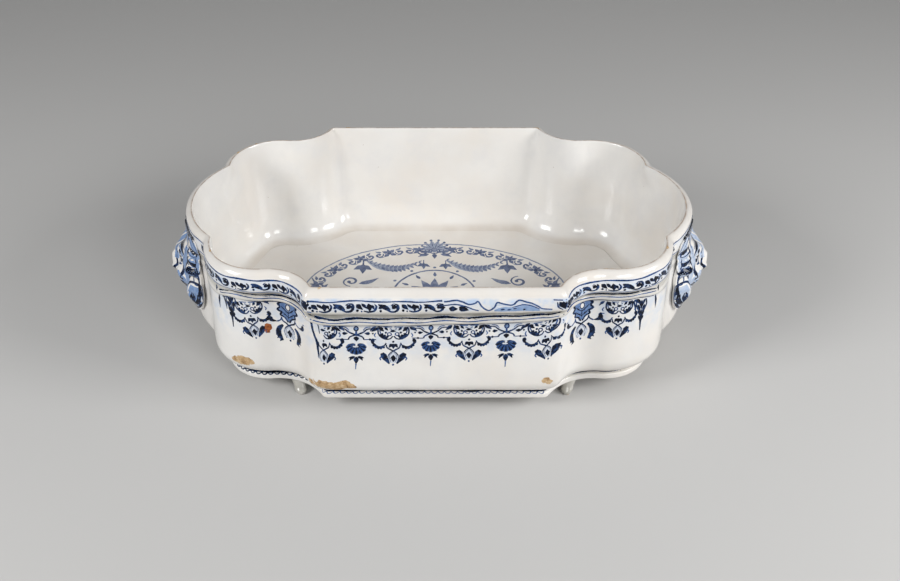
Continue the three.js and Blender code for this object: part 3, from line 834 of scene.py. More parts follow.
# The swellings of the masks' faces: how far across and up from the middle each one lies and how wide and tall
# it is, as shares of half the mask, and how much of the mask's relief it stands out by.
FACE = [
    (0, 0.2, 0.24, 0.12, 0.3),  # forehead
    (0.3, 0.4, 0.14, 0.07, 0.25),  # brows
    (0.32, 0.2, 0.11, 0.09, -0.5),  # sockets
    (0.32, 0.19, 0.065, 0.055, 0.5),  # eyes
    (0, 0.06, 0.08, 0.14, 0.4),  # bridge of the nose
    (0, -0.2, 0.15, 0.21, 1.0),  # tip of the nose
    (0.13, -0.28, 0.065, 0.07, 0.4),  # nostrils
    (0.42, -0.1, 0.13, 0.16, 0.5),  # cheeks
    (0.2, -0.43, 0.16, 0.05, 0.5),  # moustache
    (0, -0.51, 0.14, 0.05, -0.6),  # mouth
    (0, -0.6, 0.12, 0.05, 0.45),  # lower lip
    (0, -0.76, 0.14, 0.1, 0.55),  # chin
    (0.2, -0.86, 0.09, 0.12, 0.35),  # locks of the beard
    (0.5, 0.6, 0.1, 0.14, 0.12),  # crown of hair
    (0.78, 0.76, 0.16, 0.07, 0.12),  # first, second and third roll of hair over the temples
    (0.8, 0.58, 0.16, 0.07, 0.3),
    (0.82, 0.42, 0.16, 0.07, 0.45),
    (0.82, 0.24, 0.14, 0.09, 0.7),  # knots that gather it
    (0.82, -0.32, 0.16, 0.26, 0.75),  # locks that hang beside the chin
    (0.82, -0.34, 0.07, 0.14, -0.4),  # furrows in them
]

# Lobes of the mask's outline: degrees above straight across, reach in degrees, and what each adds or takes.
OUTLINE_LOBES = ((90, 30, -0.66), (46, 13, 0.36), (-6, 10, -0.04), (-42, 15, 0.08), (-66, 10, -0.1))
MASK_MIDDLE = ARRIS_HEIGHT - MASK_TOP_DROP - MASK_HEIGHT / 2
END_REACH = lerp(PLAIN, OUTSIDE[:, 0], MOULDING_TRACE)


def outline_size(angle):
    """Size of the mask's edge at an angle from straight across, as a share of its whole width and height."""
    above = np.degrees(np.arctan2(np.sin(angle), np.abs(np.cos(angle))))
    return (1 + sum(share * bump(above, degrees, reach) for degrees, reach, share in OUTLINE_LOBES)) / 2


def mask_edge(around, share=1.0):
    """Angles round the mask and, in millimetres across and up, the points of its edge or of a share of it."""
    angle = 2 * math.pi * np.arange(around) / around
    size = share * outline_size(angle)
    return angle, np.array([MASK_WIDTH * size * np.cos(angle), MASK_HEIGHT * size * np.sin(angle)])


def face_relief(u, v):
    """How far the swellings of the face stand out at a point, as a share of the mask's relief."""
    relief = 0
    for across, up, wide, tall, height in FACE:
        aside = (np.abs(u) / (MASK_WIDTH / 2) - across) / wide
        above = (v / (MASK_HEIGHT / 2) - up) / tall
        relief = relief + height * np.exp(-((aside**2 + above**2) ** SWELLING_FULLNESS))
    return relief


def mask_point(u, v, lift, turn, back=False):
    """A point on the mask: u runs round the end lobe and v up it. The lift is off its front or its back."""
    angle = np.arctan2(v / MASK_HEIGHT, u / MASK_WIDTH)
    share = np.clip(np.hypot(u / MASK_WIDTH, v / MASK_HEIGHT) / outline_size(angle), 0, 1)
    front = MASK_EDGE + MASK_DOME * (1 - share**2) + (1 - share**8) * MASK_RELIEF * face_relief(u, v)
    front = front * lerp(1, MASK_THIN_TOP, smoothstep(v, *MASK_THINS))
    out = JOINT_GAP + lift + (MASK_HOLLOW * (1 - share**4) if back else front)
    height = MASK_MIDDLE + v
    reach = END_RADIUS + np.interp(height, OUTSIDE[::-1, 1], END_REACH[::-1])
    x = END_CENTRE[0] + (reach + out) * np.cos(u / reach)
    y = (reach + out) * np.sin(u / reach)
    return np.stack([turn * x, turn * y, height], axis=-1)


def mask(turn, node):
    """A press-moulded grotesque, turned half round for the left-hand end."""
    around, front_rows, back_rows = 144, 52, 8
    edge = mask_edge(around)[1]
    rings = [mask_point(*(edge * k / front_rows), 0, turn) for k in range(1, front_rows + 1)]
    for k in range(back_rows, 0, -1):
        share = math.sin(k / back_rows * math.pi / 2)
        rings.append(mask_point(*(edge * share), 0, turn, back=True))
    middle = np.zeros((2, 1))
    points = np.vstack(rings + [mask_point(*middle, 0, turn), mask_point(*middle, 0, turn, back=True)])
    obj = mesh_object(node.replace("mask", "grotesque"), points, capped_faces(len(rings), around))
    dress(obj, node, TIN_GLAZE)


mask(1, "mask_right")
mask(-1, "mask_left")


# The painting. A design is a list of brush strokes on the flat: x along the border, y up from its top line.
STROKE_STEP = 0.9

# A stroke fires a little broader than it was drawn, by a share of its width and by the brush's own tip.
STROKE_SPREAD = 1.18
BRUSH_TIP = 0.25

# How far a stroke's top stands off the skin, how much more for each layer, how much less at its edges, and
# how deep the keel under it reaches in. A stroke has two lanes of facets for each LANE_PAIR of its breadth.
LIFT = 0.1
LAYER_LIFT = 0.03
EDGE_SINK = 0.08
KEEL = 0.3
LANE_PAIR = 4.5


def smooth(points, closed=False):
    """Even points along a soft curve through a few given ones."""
    points = np.array(points, float)
    if len(points) == 2:
        return np.linspace(*points, max(4, round(np.hypot(*(points[1] - points[0])) / STROKE_STEP)) + 1)
    if closed:
        before, after, spans = points[-1], points[:2], len(points)
    else:
        before, after, spans = 2 * points[0] - points[1], [2 * points[-1] - points[-2]], len(points) - 1
    p = np.vstack([before, points, after])
    out = []
    for k in range(spans):
        a, b, c, d = p[k:k + 4]
        steps = max(3, round(np.hypot(*(c - b)) / STROKE_STEP))
        t = np.arange(steps)[:, None] / steps
        bend = (2 * a - 5 * b + 4 * c - d) * t**2 + (3 * b - a - 3 * c + d) * t**3
        out.append(0.5 * (2 * b + (c - a) * t + bend))
    if not closed:
        out.append(p[-2:-1])
    return np.vstack(out)


class Design:
    """Strokes as (points, widths along them, load of pigment, layer, closed or not)."""

    def __init__(self):
        self.strokes = []

    def line(self, points, widths=0.7, load=0.9, layer=1, closed=False):
        """A soft line through points, its width changing evenly through the given ones."""
        points = smooth(points, closed)
        given = np.atleast_1d(widths)
        along = distances(points)
        widths = np.interp(along / along[-1], np.linspace(0, 1, len(given)), given)
        self.strokes.append((points, widths, load, layer, closed))
        return self

    def leaf(self, start, end, width, bend=0.0, load=1.0, layer=1):
        """A brush pressed and lifted: pointed at both ends, broadest nearer its start."""
        start, end = np.array(start, float), np.array(end, float)
        aside = np.array([start[1] - end[1], end[0] - start[0]])
        middle = (start + end) / 2 + aside / max(np.hypot(*aside), 1e-6) * bend
        widths = (0.15, 0.8 * width, width, 0.75 * width, 0.4 * width, 0.1)
        return self.line([start, middle, end], widths, load, layer)

    def comma(self, points, width, load=1.0):
        """A brush pressed at the start and drawn out thin."""
        return self.line(points, (0.35 * width, width, 0.9 * width, 0.6 * width, 0.35 * width, 0.15), load)

    def dot(self, x, y, radius, load=1.0, layer=1):
        """A round touch of the brush."""
        across = np.array([-1, -0.8, -0.3, 0.3, 0.8, 1.0])
        points = np.column_stack([x + across * radius, np.full(6, float(y))])
        self.strokes.append((points, 2 * radius * np.sqrt(1.02 - across**2), load, layer, False))
        return self

    def oval(self, x, y, wide, tall, width=0.7, load=0.9, start=0, sweep=360, layer=1):
        """Part or all of an oval line; degrees run anticlockwise from the right."""
        steps = max(8, round(math.radians(sweep) * max(wide, tall) / STROKE_STEP))
        angle = np.radians(start + sweep * np.arange(steps + (sweep < 360)) / steps)
        points = np.column_stack([x + wide * np.cos(angle), y + tall * np.sin(angle)])
        self.strokes.append((points, np.full(len(points), float(width)), load, layer, sweep >= 360))
        return self

    def curl(self, x, y, radius, start, turns, width=0.9, load=1.0):
        """A scroll that winds in from its radius, anticlockwise for positive turns, and ends in a bead."""
        t = np.linspace(0, 1, max(8, round(abs(turns) * 14)))
        angle = np.radians(start) + 2 * math.pi * turns * t
        reach = radius * (1 - 0.75 * t)
        points = np.column_stack([x + reach * np.cos(angle), y + reach * np.sin(angle)])
        widths = np.interp(t, [0, 0.5, 1], [0.4 * width, width, 0.8 * width])
        self.strokes.append((points, widths, load, 1, False))
        return self.dot(*points[-1], 0.75 * width, load)

    def add(self, other, x=0.0, y=0.0, turn=0.0, size=1.0, mirror=False):
        """Another design's strokes, mirrored, sized, turned by degrees and moved."""
        c, s = math.cos(math.radians(turn)), math.sin(math.radians(turn))
        for points, widths, load, layer, closed in other.strokes:
            across, up = (points * ((-size if mirror else size), size)).T
            placed = np.column_stack([c * across - s * up + x, s * across + c * up + y])
            self.strokes.append((placed, widths * size, load, layer, closed))
        return self

    def both(self, other):
        """Another design and its mirror image."""
        return self.add(other).add(other, mirror=True)


def stroke_arrays(design):
    """Points, faces and attributes of a design's strokes: each a closed, slightly domed strip with a keel."""
    places, faces, ink, load = [], [], [], []
    count = 0
    for points, widths, pigment, layer, closed in design.strokes:
        n = len(points)
        if closed:
            along = np.roll(points, -1, axis=0) - np.roll(points, 1, axis=0)
        else:
            along = np.gradient(points, axis=0)
        along /= np.maximum(np.linalg.norm(along, axis=1, keepdims=True), 1e-9)
        widths = STROKE_SPREAD * widths + BRUSH_TIP
        aside = np.column_stack([-along[:, 1], along[:, 0]]) * widths[:, None] / 2
        lanes = 2 * math.ceil(widths.max() / LANE_PAIR)
        offsets = np.linspace(1, -1, lanes + 1)
        for offset in offsets:
            lift = LIFT + LAYER_LIFT * layer - EDGE_SINK * (abs(offset) == 1)
            places.append(np.column_stack([points + aside * offset, np.full(n, lift)]))
        places.append(np.column_stack([points, np.full(n, -KEEL)]))
        i = np.arange(n if closed else n - 1)
        after = (i + 1) % n
        rows = lanes + 2
        for k in range(rows):
            near, far = count + k * n, count + (k + 1) % rows * n
            faces.append(np.column_stack([near + i, far + i, far + after, near + after]))
        if not closed:
            low = count + n * np.arange(rows)
            for k in range(0, lanes, 2):
                faces.append(np.array([low[[k, -1, k + 2, k + 1]], low[[k, k + 1, k + 2, -1]] + n - 1]))
        ink.append(np.repeat([*np.minimum(1, (1 - abs(offsets)) * lanes / 2), 1], n))
        load.append(np.full(rows * n, pigment))
        count += rows * n
    return np.vstack(places), np.vstack(faces), np.concatenate(ink), np.concatenate(load)


def border_tree():
    """Repeats a motif along a border, each time a little turned, sized and moved, as a hand does."""
    tree = bpy.data.node_groups.new("repeat_along_border", "GeometryNodeTree")
    face = tree.interface
    face.new_socket("Geometry", in_out="OUTPUT", socket_type="NodeSocketGeometry")
    for name, kind in (("Motif", "Object"), ("Count", "Int"), ("Pitch", "Float"), ("First", "Float"),
                       ("Sway", "Float"), ("Seed", "Int"), ("Paint", "Material")):
        face.new_socket(name, in_out="INPUT", socket_type=f"NodeSocket{kind}")
    given = add_node(tree, "NodeGroupInput").outputs
    step = add_node(tree, "ShaderNodeCombineXYZ", {"X": given["Pitch"]}).outputs[0]
    first = add_node(tree, "ShaderNodeCombineXYZ", {"X": given["First"]}).outputs[0]
    along = {"Count": given["Count"], "Start Location": first, "Offset": step}
    line = add_node(tree, "GeometryNodeMeshLine", along, mode="OFFSET").outputs["Mesh"]
    motif = add_node(tree, "GeometryNodeObjectInfo", {"Object": given["Motif"]}).outputs["Geometry"]
    back = add_node(tree, "ShaderNodeMath", {0: given["Sway"], 1: -1.0}, operation="MULTIPLY").outputs[0]
    sway = {2: back, 3: given["Sway"], "Seed": given["Seed"]}
    turn = add_node(tree, "FunctionNodeRandomValue", sway).outputs[1]
    turned = add_node(tree, "ShaderNodeCombineXYZ", {"Z": turn}).outputs[0]
    later = add_node(tree, "ShaderNodeMath", {0: given["Seed"], 1: 11.0}, operation="ADD").outputs[0]
    sized = add_node(tree, "FunctionNodeRandomValue", {2: 0.95, 3: 1.04, "Seed": later}).outputs[1]
    copies = {"Points": line, "Instance": motif, "Rotation": turned, "Scale": sized}
    placed = add_node(tree, "GeometryNodeInstanceOnPoints", copies).outputs[0]
    real = add_node(tree, "GeometryNodeRealizeInstances", {"Geometry": placed}).outputs[0]
    inputs = {"Geometry": real, "Material": given["Paint"]}
    coated = add_node(tree, "GeometryNodeSetMaterial", inputs).outputs[0]
    add_node(tree, "NodeGroupOutput", {"Geometry": coated})
    return tree


BORDER_TREE = border_tree()


def repeated(design, first, pitch, count, down=0.0, sway=1.2, seed=0):
    """The arrays of a design repeated along a border, its top line `down` below the skin's first row."""
    places, faces, ink, load = stroke_arrays(design)
    motif = mesh_object("motif", places / MM, faces, ink=ink, load=load)
    host = mesh_object("border", [(0, 0, 0)], [])
    modifier = host.modifiers.new("repeat", "NODES")
    modifier.node_group = BORDER_TREE
    values = {"Motif": motif, "Count": count, "Pitch": float(pitch), "First": float(first),
              "Sway": math.radians(sway), "Seed": seed, "Paint": COBALT}
    for item in BORDER_TREE.interface.items_tree:
        if item.in_out == "INPUT":
            modifier[item.identifier] = values[item.name]
    mesh = bpy.data.meshes.new_from_object(host.evaluated_get(bpy.context.evaluated_depsgraph_get()))
    places = read_places(mesh) - (0, down, 0)
    corners = read_values(mesh.loops, "vertex_index", int).reshape(-1, 4)
    ink, load = [read_values(mesh.attributes[name].data, "value") for name in ("ink", "load")]
    bpy.data.objects.remove(host)
    bpy.data.objects.remove(motif)
    bpy.data.meshes.remove(mesh)
    return places, corners, ink, load


def by_hand(places, amount):
    """Places drawn a little out of true: the slow drift of a hand and the small tremble of a brush."""
    moved = places.copy()
    for row in moved:
        drift = noise.noise_vector(Vector((row[0] / 26, row[1] / 26, 5)))
        tremble = noise.noise_vector(Vector((row[0] / 5, row[1] / 5, 9)))
        row[0] += amount * (drift[0] + 0.35 * tremble[0])
        row[1] += amount * (drift[1] + 0.35 * tremble[1])
    return moved


def painted(name, runs, lay, amount=0.45, material=COBALT):
    """One piece of painting from the arrays of several runs, laid on its skin."""
    places, faces, ink, load = zip(*runs)
    starts = np.cumsum([0] + [len(part) for part in places])
    faces = np.vstack([part + start for part, start in zip(faces, starts)])
    places = lay(by_hand(np.vstack(places), amount))
    obj = mesh_object(name, places, faces, ink=np.concatenate(ink), load=np.concatenate(load))
    dress(obj, None, material)


# Levels down the skin of the wall, from the arris, and the pitches of what repeats on it.
OUTLINE_DOWN = 11
FRIEZE_DOWN = 12.6
BAY_FRIEZE_DOWN = 14
UNDERLINE_DOWN = 23.6
BEAD_LINE_DOWN = 35.4
BAND_DOWN = 48
MOTIF_PITCH = 32.8
UNIT_PITCH = 18.6

# The height of the line that the motifs stand on, with the band's top line at 0.
BASELINE = -13.6

# The scallops on the foot ring: their pitch, and their top line's distance down the ring's skin.
SCALLOP_PITCH = 6.0
SCALLOP_DOWN = 5.2


def knot_and_fan():
    """A knot of crossing scrolls over a fan that hangs open and a three-leaved bud."""
    half = Design()
    half.leaf((-19.4, -0.8), (-13, -5.6), 3.2)
    half.line([(-14.6, -2.6), (-9.8, -3), (-6.4, -6), (-2.2, -8.2), (3, -9.9), (5.8, -11.4), (6.8, -13.8)],
              (0.9, 1.1, 1.4, 1.3, 1.1))
    half.line([(-12.6, -0.8), (-8.8, -1.4), (-6, -4.4)], (0.6, 0.9, 0.5), 0.6)
    half.leaf((-12, -7.6), (-7.2, -7.3), 3.3).dot(-14.4, -7.4, 0.8)
    half.line([(-17.2, BASELINE), (-7.2, BASELINE)], 0.8, 0.8).dot(-11.8, BASELINE, 1.0)
    root = np.array([0, -18.4])
    for degrees, reach in ((24, 9.2), (45, 10.2), (68, 10.7), (89, 11.0)):
        out = np.array([-math.cos(math.radians(degrees)), -math.sin(math.radians(degrees))])
        half.line([root + 1.5 * out, root + 0.6 * reach * out, root + reach * out], (3, 5, 5, 2.4), 0.68, 0)
        half.line([root + 0.45 * reach * out, root + reach * out], (0.6, 2.2, 3.1, 1.8), 1.0)
        half.line([root + 0.15 * reach * out, root + 0.5 * reach * out], (1.2, 0.5), 0.9)
    half.line([(-8.6, -22), (-3.8, -18), (-0.8, -18.6)], (1.8, 1.2, 0.6), 0.9)
    half.leaf((-1.2, -31.2), (-5.6, -35.8), 3.0, -0.9)
    half.leaf((-3.6, -31.8), (-6.8, -33), 1.6)
    design = Design().both(half)
    design.oval(0, -2.6, 1.7, 2.2, 1.2, 0.85).dot(0, -2.6, 1.5, 0.4, 0)
    design.line([(0, -4.6), (0, -10)], (1.2, 2.0), 0.75)
    design.leaf((0, -10.4), (0, -15.4), 4.6)
    design.line([(-3, -20.6), (1.6, -21)], (1.0, 2.2, 0.8), 0.1, 2)
    design.line([(0, -31.6), (0, -34.6), (0, -38.8)], (1.0, 3.6, 4.0, 2.4, 0.7), 0.95)
    return design.line([(0, -39), (-0.3, -45)], (1.1, 0.5), 0.6)


def bell(crescents=False):
    """A bell flower under crossed ribbons: two thin domes, a dark bud, and a leaf or crescent each side."""
    half = Design()
    dome = [(-6.2, 6.2), (-5.2, 2.8), (-1.6, 0.4), (2.6, -3), (4.5, -7), (2.9, -13)]
    half.line(dome, (0.9, 1.2, 1.3, 1.3, 1.1, 0.8))
    half.line([(-0.4, -2), (-2.9, -5), (-3, -8.4), (-1.9, -12)], (0.5, 0.9, 0.6), 0.75)
    half.leaf((-0.4, -5.6), (-2.9, -9), 2.2)
    if crescents:
        half.line([(-5.4, -1.2), (-9, -5.2), (-9.5, -10.4), (-6.6, -16)], (1.4, 3.4, 4.0, 3.6, 1.4))
        for x, y in ((-10.6, -6.6), (-11.2, -9.8), (-10.4, -13), (-8.4, -15.6)):
            half.leaf((x + 1.6, y + 1.2), (x - 0.9, y - 1.4), 1.8)
    else:
        half.line([(-9.8, -2.8), (-8, -6.2), (-5.5, -10), (-3.2, -14)], (2.8, 5.2, 4.4, 2.6, 0.6))
        half.line([(-10.2, -6.4), (-11.6, -8.2), (-10.6, -10.2)], (1.2, 0.8), 0.7)
    design = Design().both(half)
    design.line([(0, -1.6), (0, -8), (0, -13)], (3, 10, 12, 6), 0.12, 0)
    design.line([(0.2, -4.8), (0.2, -8.2), (0.2, -11.8)], (0.6, 3.4, 4.8, 3.6, 0.6), 1.0)
    return design.dot(0, -14.8, 0.9, 0.8)


def garland():
    """A serrated crescent of beads that hangs below the baseline, thick at its outer end."""
    design = Design()
    design.comma([(-17.3, BASELINE + 0.6), (-18.3, -16.8), (-16.2, -20)], 3.4)
    for degrees in (222, 240, 258, 277, 297):
        out = np.array([math.cos(math.radians(degrees)), math.sin(math.radians(degrees))])
        place = np.array([-11.7, -14.4]) + out * (6.1, 7.6)
        design.line([place - 1.1 * out, place + 2.2 * out], (1.6, 2.8, 2.8, 1))
    design.oval(-11.7, -14.4, 6.1, 7.6, 1.0, 0.9, 195, 140)
    return design


def cartouche_and_bell():
    """A lobed cartouche of scrolls and dots between beaded garlands, over a trefoil and a bell flower."""
    half = garland()
    lobes = [(-12.4, -0.4), (-13.5, -4.4), (-12.7, -8.8), (-9.8, -12.2), (-6, -13.7), (-2.6, -13),
             (-0.5, -10.4)]
    half.line(lobes, (1.2, 1.2, 1.2, 1.1, 1.0))
    half.line([(-11, -0.8), (-11.9, -4.4), (-11, -7.6)], 0.8, 0.65)
    half.line([(-11.6, -8), (-9.2, -11), (-5, -12.6)], (1.4, 3.5, 3.4, 1.3))
    for x, y in ((-9.8, -8.4), (-7.5, -9.9), (-5, -10.7)):
        half.dot(x, y, 1.1)
    half.comma([(-10.9, -0.8), (-10.6, -3.2), (-8.2, -5.4)], 3.8)
    half.leaf((-7.4, -1.2), (-4.6, -4.6), 2.6).dot(-6.6, -6.8, 1.0)
    half.oval(-3.4, -8.4, 1.7, 1.6, 0.9, 0.8).line([(-8.6, -0.8), (-1, -0.9)], 0.9, 0.6)
    half.line([(-3.2, -2.6), (-1.2, -3.4)], (1.0, 0.5), 0.7)
    half.leaf((-15.2, -0.6), (-20.4, -5.6), 2.6, -0.5, 0.8)
    half.leaf((-0.8, -18.6), (-3.9, -22.4), 3.4)
    half.line([(-15.4, -7), (-16.6, -9.6), (-15.6, -11.4)], (0.6, 1.0, 0.6), 0.6)
    design = Design().both(half)
    design.leaf((-2.8, -5.2), (2.8, -5.2), 2.8).dot(0, -16.4, 1.0)
    design.leaf((0, -18.4), (0, -23.8), 3.8)
    return design.add(bell(), y=-25.4)


def vine_leaf_and_bell():
    """A broad blue leaf hanging point down, its eye left pale, over a bell flower and broken crescents."""
    half = Design()
    for y, reach in ((-1.8, 7.4), (-4.6, 7.7), (-7.6, 8.2), (-10.6, 6.6), (-13.6, 5.6), (-16.4, 3)):
        half.line([(0, y), (-0.5 * reach, y), (-reach, y)], (3.4, 4, 4, 2.8), 0.46, 0)
    edge = [(-0.6, -0.4), (-5, -0.2), (-9, -2), (-7.4, -4.7), (-9.8, -7.8), (-6.4, -10), (-7.2, -13.2),
            (-3.4, -15), (-0.6, -19.6)]
    half.line(edge, (1, 1.8, 2.3, 1.7, 2.4, 1.7, 2, 1.4), 0.97)
    half.line([(0, -10), (-3.4, -7.4), (-6.4, -4)], (1.2, 2.4, 1), 0.95)
    half.line([(0, -14.6), (-3, -12.2), (-6, -9.4)], (1.2, 2.2, 1), 0.95)
    half.comma([(-17.6, -15.2), (-15.6, -19.2), (-10.8, -20.4)], 3.8)
    half.line([(-10.8, -20.4), (-8, -18.6), (-6.2, -15.4)], (1.2, 0.8), 0.75)
    half.line([(-19.5, -13.8), (-17, -13.8)], 0.8, 0.75)
    design = Design().both(half)
    design.line([(0, -2), (0, -6.6)], (0.8, 3.0, 3.0, 0.8), 0.05, 3)
    design.oval(0, -4.2, 2.1, 3.2, 0.8, 0.9, layer=3)
    design.line([(0, -8), (0, -16)], (0.9, 1.7, 0.8), 0.95)
    return design.add(bell(crescents=True), y=-22, size=1.1)


def spiky_pendant():
    """A slender pendant of pointed leaves that closes the band beside the masks."""
    half = Design()
    leaves = ((-2, 0, -8, 2.8), (-2.2, -6, -14, 2.8), (-1.6, -12, -20, 2.6), (-1, -18, -25, 2.2))
    for x, top, end, width in leaves:
        half.leaf((x - 1.8, top), (x + 0.8, end), width, 0.5)
    half.line([(-4.6, 0), (-5.4, -6), (-2.8, -13)], (1.4, 1.0), 0.85)
    design = Design().both(half)
    design.leaf((0, -1), (0, -12), 3).leaf((0, -11), (0, -24), 3.2)
    design.line([(-8.4, -1), (-6.2, -9), (-5.6, -15)], (1.6, 1.4, 0.8), 0.9)
    return design.line([(0, -22), (0.4, -34)], (2.4, 0.7), 0.95)


def narrowed(design, across):
    """The same design, drawn narrower with strokes of the same breadth."""
    other = Design()
    other.strokes = [(points * (across, 1), *rest) for points, *rest in design.strokes]
    return other


def leaf_scroll():
    """One unit of the rim's frieze: a dark leaf running down into a curl with a bud in its eye."""
    design = Design()
    design.line([(-10.4, -1.6), (-7, -2.8), (-3.2, -4.8), (0.6, -7.2)], (0.8, 3.0, 3.9, 3.6, 1.5))
    design.leaf((-10.2, -5.4), (-5, -2.8), 2.8)
    design.line([(-2, -6.8), (2.2, -8.7), (6.4, -8), (8.8, -4.8), (7.6, -1.6), (4.2, -0.9), (1.8, -2.8)],
                (1.4, 1.6, 1.8, 2.2, 1.9, 1.2, 0.8), 0.9)
    design.leaf((2.8, -2.6), (7.6, -4.6), 4.6, -0.4)
    design.leaf((8.2, -2.4), (7.6, -7.4), 3.0)
    return design.dot(-8.2, -7.8, 1.2, 0.9)


def leaf_cluster():
    """Another unit of the frieze: three dark leaves falling from the outline beside a half-open curl."""
    design = Design()
    design.leaf((-9.8, -1.8), (-3.4, -6.8), 3.9).leaf((-4.6, -1), (1, -6), 3.0)
    design.leaf((1.8, -1), (3, -8.6), 4.1, 0.5)
    design.line([(-2.6, -8), (2, -9), (7.4, -7.6), (9.4, -3.8), (7.4, -1.2)], (0.9, 1.5, 1.5, 1.8, 0.8), 0.9)
    design.leaf((5, -2.4), (7.2, -6.4), 2.6)
    return design.dot(-8.6, -7.6, 1.3).dot(-4.6, -8.4, 0.8, 0.8)


def lip_ribbon():
    """A ribbon that waves along the right of the lip instead of the scrolls, blue in its folds."""
    outer = [(8, -13.4), (11.5, -13.1), (18.3, -12), (23.6, -13.6), (28.2, -15.9), (33.5, -15), (36.1, -13.2),
             (38.8, -17.7), (42.6, -21.4), (45.6, -22.2), (49.4, -19), (51.7, -14.2), (56.3, -15.4),
             (62.4, -16.8), (65.4, -15.9), (67.7, -13.6), (70.7, -12.3), (76, -14), (80.6, -15.4),
             (85.2, -18.2), (89, -20.8), (97, -21.6)]
    inner = [(4, -17.6), (9.2, -16.8), (18.3, -15.9), (27.4, -18.6), (31.9, -21), (36.5, -22.4)]
    fold = [(49.5, -22.6), (54.8, -21.4), (61, -21), (65.4, -21.2), (69.2, -20.6), (74.5, -20), (80.6, -21),
            (87, -22.8)]
    design = Design()
    design.line(outer, 1.3, 0.7, 2)
    design.line([(x, y - 1.9) for x, y in outer[:8]], 2.4, 0.1, 0)
    design.line([(x, y - 1.9) for x, y in outer[11:]], 2.8, 0.12, 0)
    design.line(inner, (0.8, 1.2, 1.0), 0.75, 2)
    design.line(fold, (1.4, 4.0, 4.4, 4.2, 5.0, 5.6, 4.4, 1.2), 0.26, 1)
    design.line([(64, -19), (69.2, -17.4), (74.5, -16.4), (80.6, -18), (86.4, -21)], (0.8, 1.2, 0.8), 0.68, 2)
    for x, y, wide in ((56.3, -21.4, 3.6), (61.6, -21.6, 3.4), (66.1, -20.6, 3), (74, -21.6, 2.4)):
        design.leaf((x - wide / 2, y), (x + wide / 2, y + 0.4), 2.0, load=0.85, layer=3)
    design.leaf((12, -19.4), (19.4, -20.2), 5.0, -0.5).leaf((20.4, -18.2), (28.4, -21.8), 6.2, -0.4)
    return design.leaf((3.6, -17.6), (9.2, -19), 4.0)


def corner_leaf():
    """The dark leaf that covers the frieze's turn at a crease."""
    design = Design()
    design.leaf((-3.6, -0.4), (1.4, -8.8), 6.2, 0.6).leaf((2.8, -0.4), (0.2, -7.4), 3.6)
    return design.line([(-5.2, -0.6), (-5, -6), (-1, -9.4)], (0.9, 1.4, 0.9), 0.9).dot(4.2, -6.2, 1.4)


def brushed_line(level, start, end, sway, width, load):
    """A long brushed line that follows a level of the wall, rising and falling a little."""
    x = np.arange(start, end, 3.5)
    y = level + sway * (np.sin(x / 6.1) + 0.6 * np.sin(x / 9.7 + 1.3))
    design = Design()
    design.strokes.append((np.column_stack([x, y]), width * (1 + 0.25 * np.sin(x / 4.3)), load, 1, False))
    return stroke_arrays(design)


def rows_of_motifs(middle, rows):
    """Repeated motifs from rows of a motif, its first place off the middle, pitch, count, depth and seed."""
    return [repeated(design, middle + first, pitch, count, down, seed=seed)
            for design, first, pitch, count, down, seed in rows]


def lambrequins(middle):
    """The hanging motifs under the moulding, over one long side and the lobes beside it."""
    knot, cartouche = knot_and_fan(), cartouche_and_bell()
    vine, spiky = vine_leaf_and_bell(), spiky_pendant()
    dash = Design().leaf((0, 2), (1.4, -14), 2.6, 0.6).leaf((2.6, 17), (0.4, 8.6), 2.2, 0.5)
    cut_short = Design()
    cut_short.strokes = [stroke for stroke in cartouche.strokes if stroke[0][:, 0].mean() > -1.5]
    cut_short.line([(-9.6, -1), (-8.4, -12), (-6.8, -20), (-5.6, -36)], (1.6, 1.0, 1.4, 0.9), 0.9)
    cut_short.line([(-5.4, -1), (-4.4, -10)], (0.8, 1.2, 0.6), 0.85)
    centre, pair = -3.0, 2 * MOTIF_PITCH
    return rows_of_motifs(middle, (
        (knot, centre - pair, pair, 3, BAND_DOWN, 1),
        (cartouche, centre - MOTIF_PITCH, pair, 2, BAND_DOWN, 2),
        (cut_short, centre - 2.94 * MOTIF_PITCH, 1, 1, BAND_DOWN, 14),
        (Design().add(cartouche, turn=9), centre + 2.96 * MOTIF_PITCH, 1, 1, BAND_DOWN, 15),
        (vine, -140, 278, 2, BAND_DOWN - 0.4, 3),
        (Design().add(cartouche, turn=8), -177, 1, 1, BAND_DOWN + 0.6, 4),
        (narrowed(cartouche, 0.9), 171, 1, 1, BAND_DOWN + 0.4, 22),
        (spiky, -194, 1, 1, BAND_DOWN - 2, 5),
        (spiky, 192, 1, 1, BAND_DOWN + 1, 23),
        (Design().add(dash, mirror=True), -208, 1, 1, BAND_DOWN, 6),
        (dash, 207.5, 1, 1, BAND_DOWN, 7),
    ))


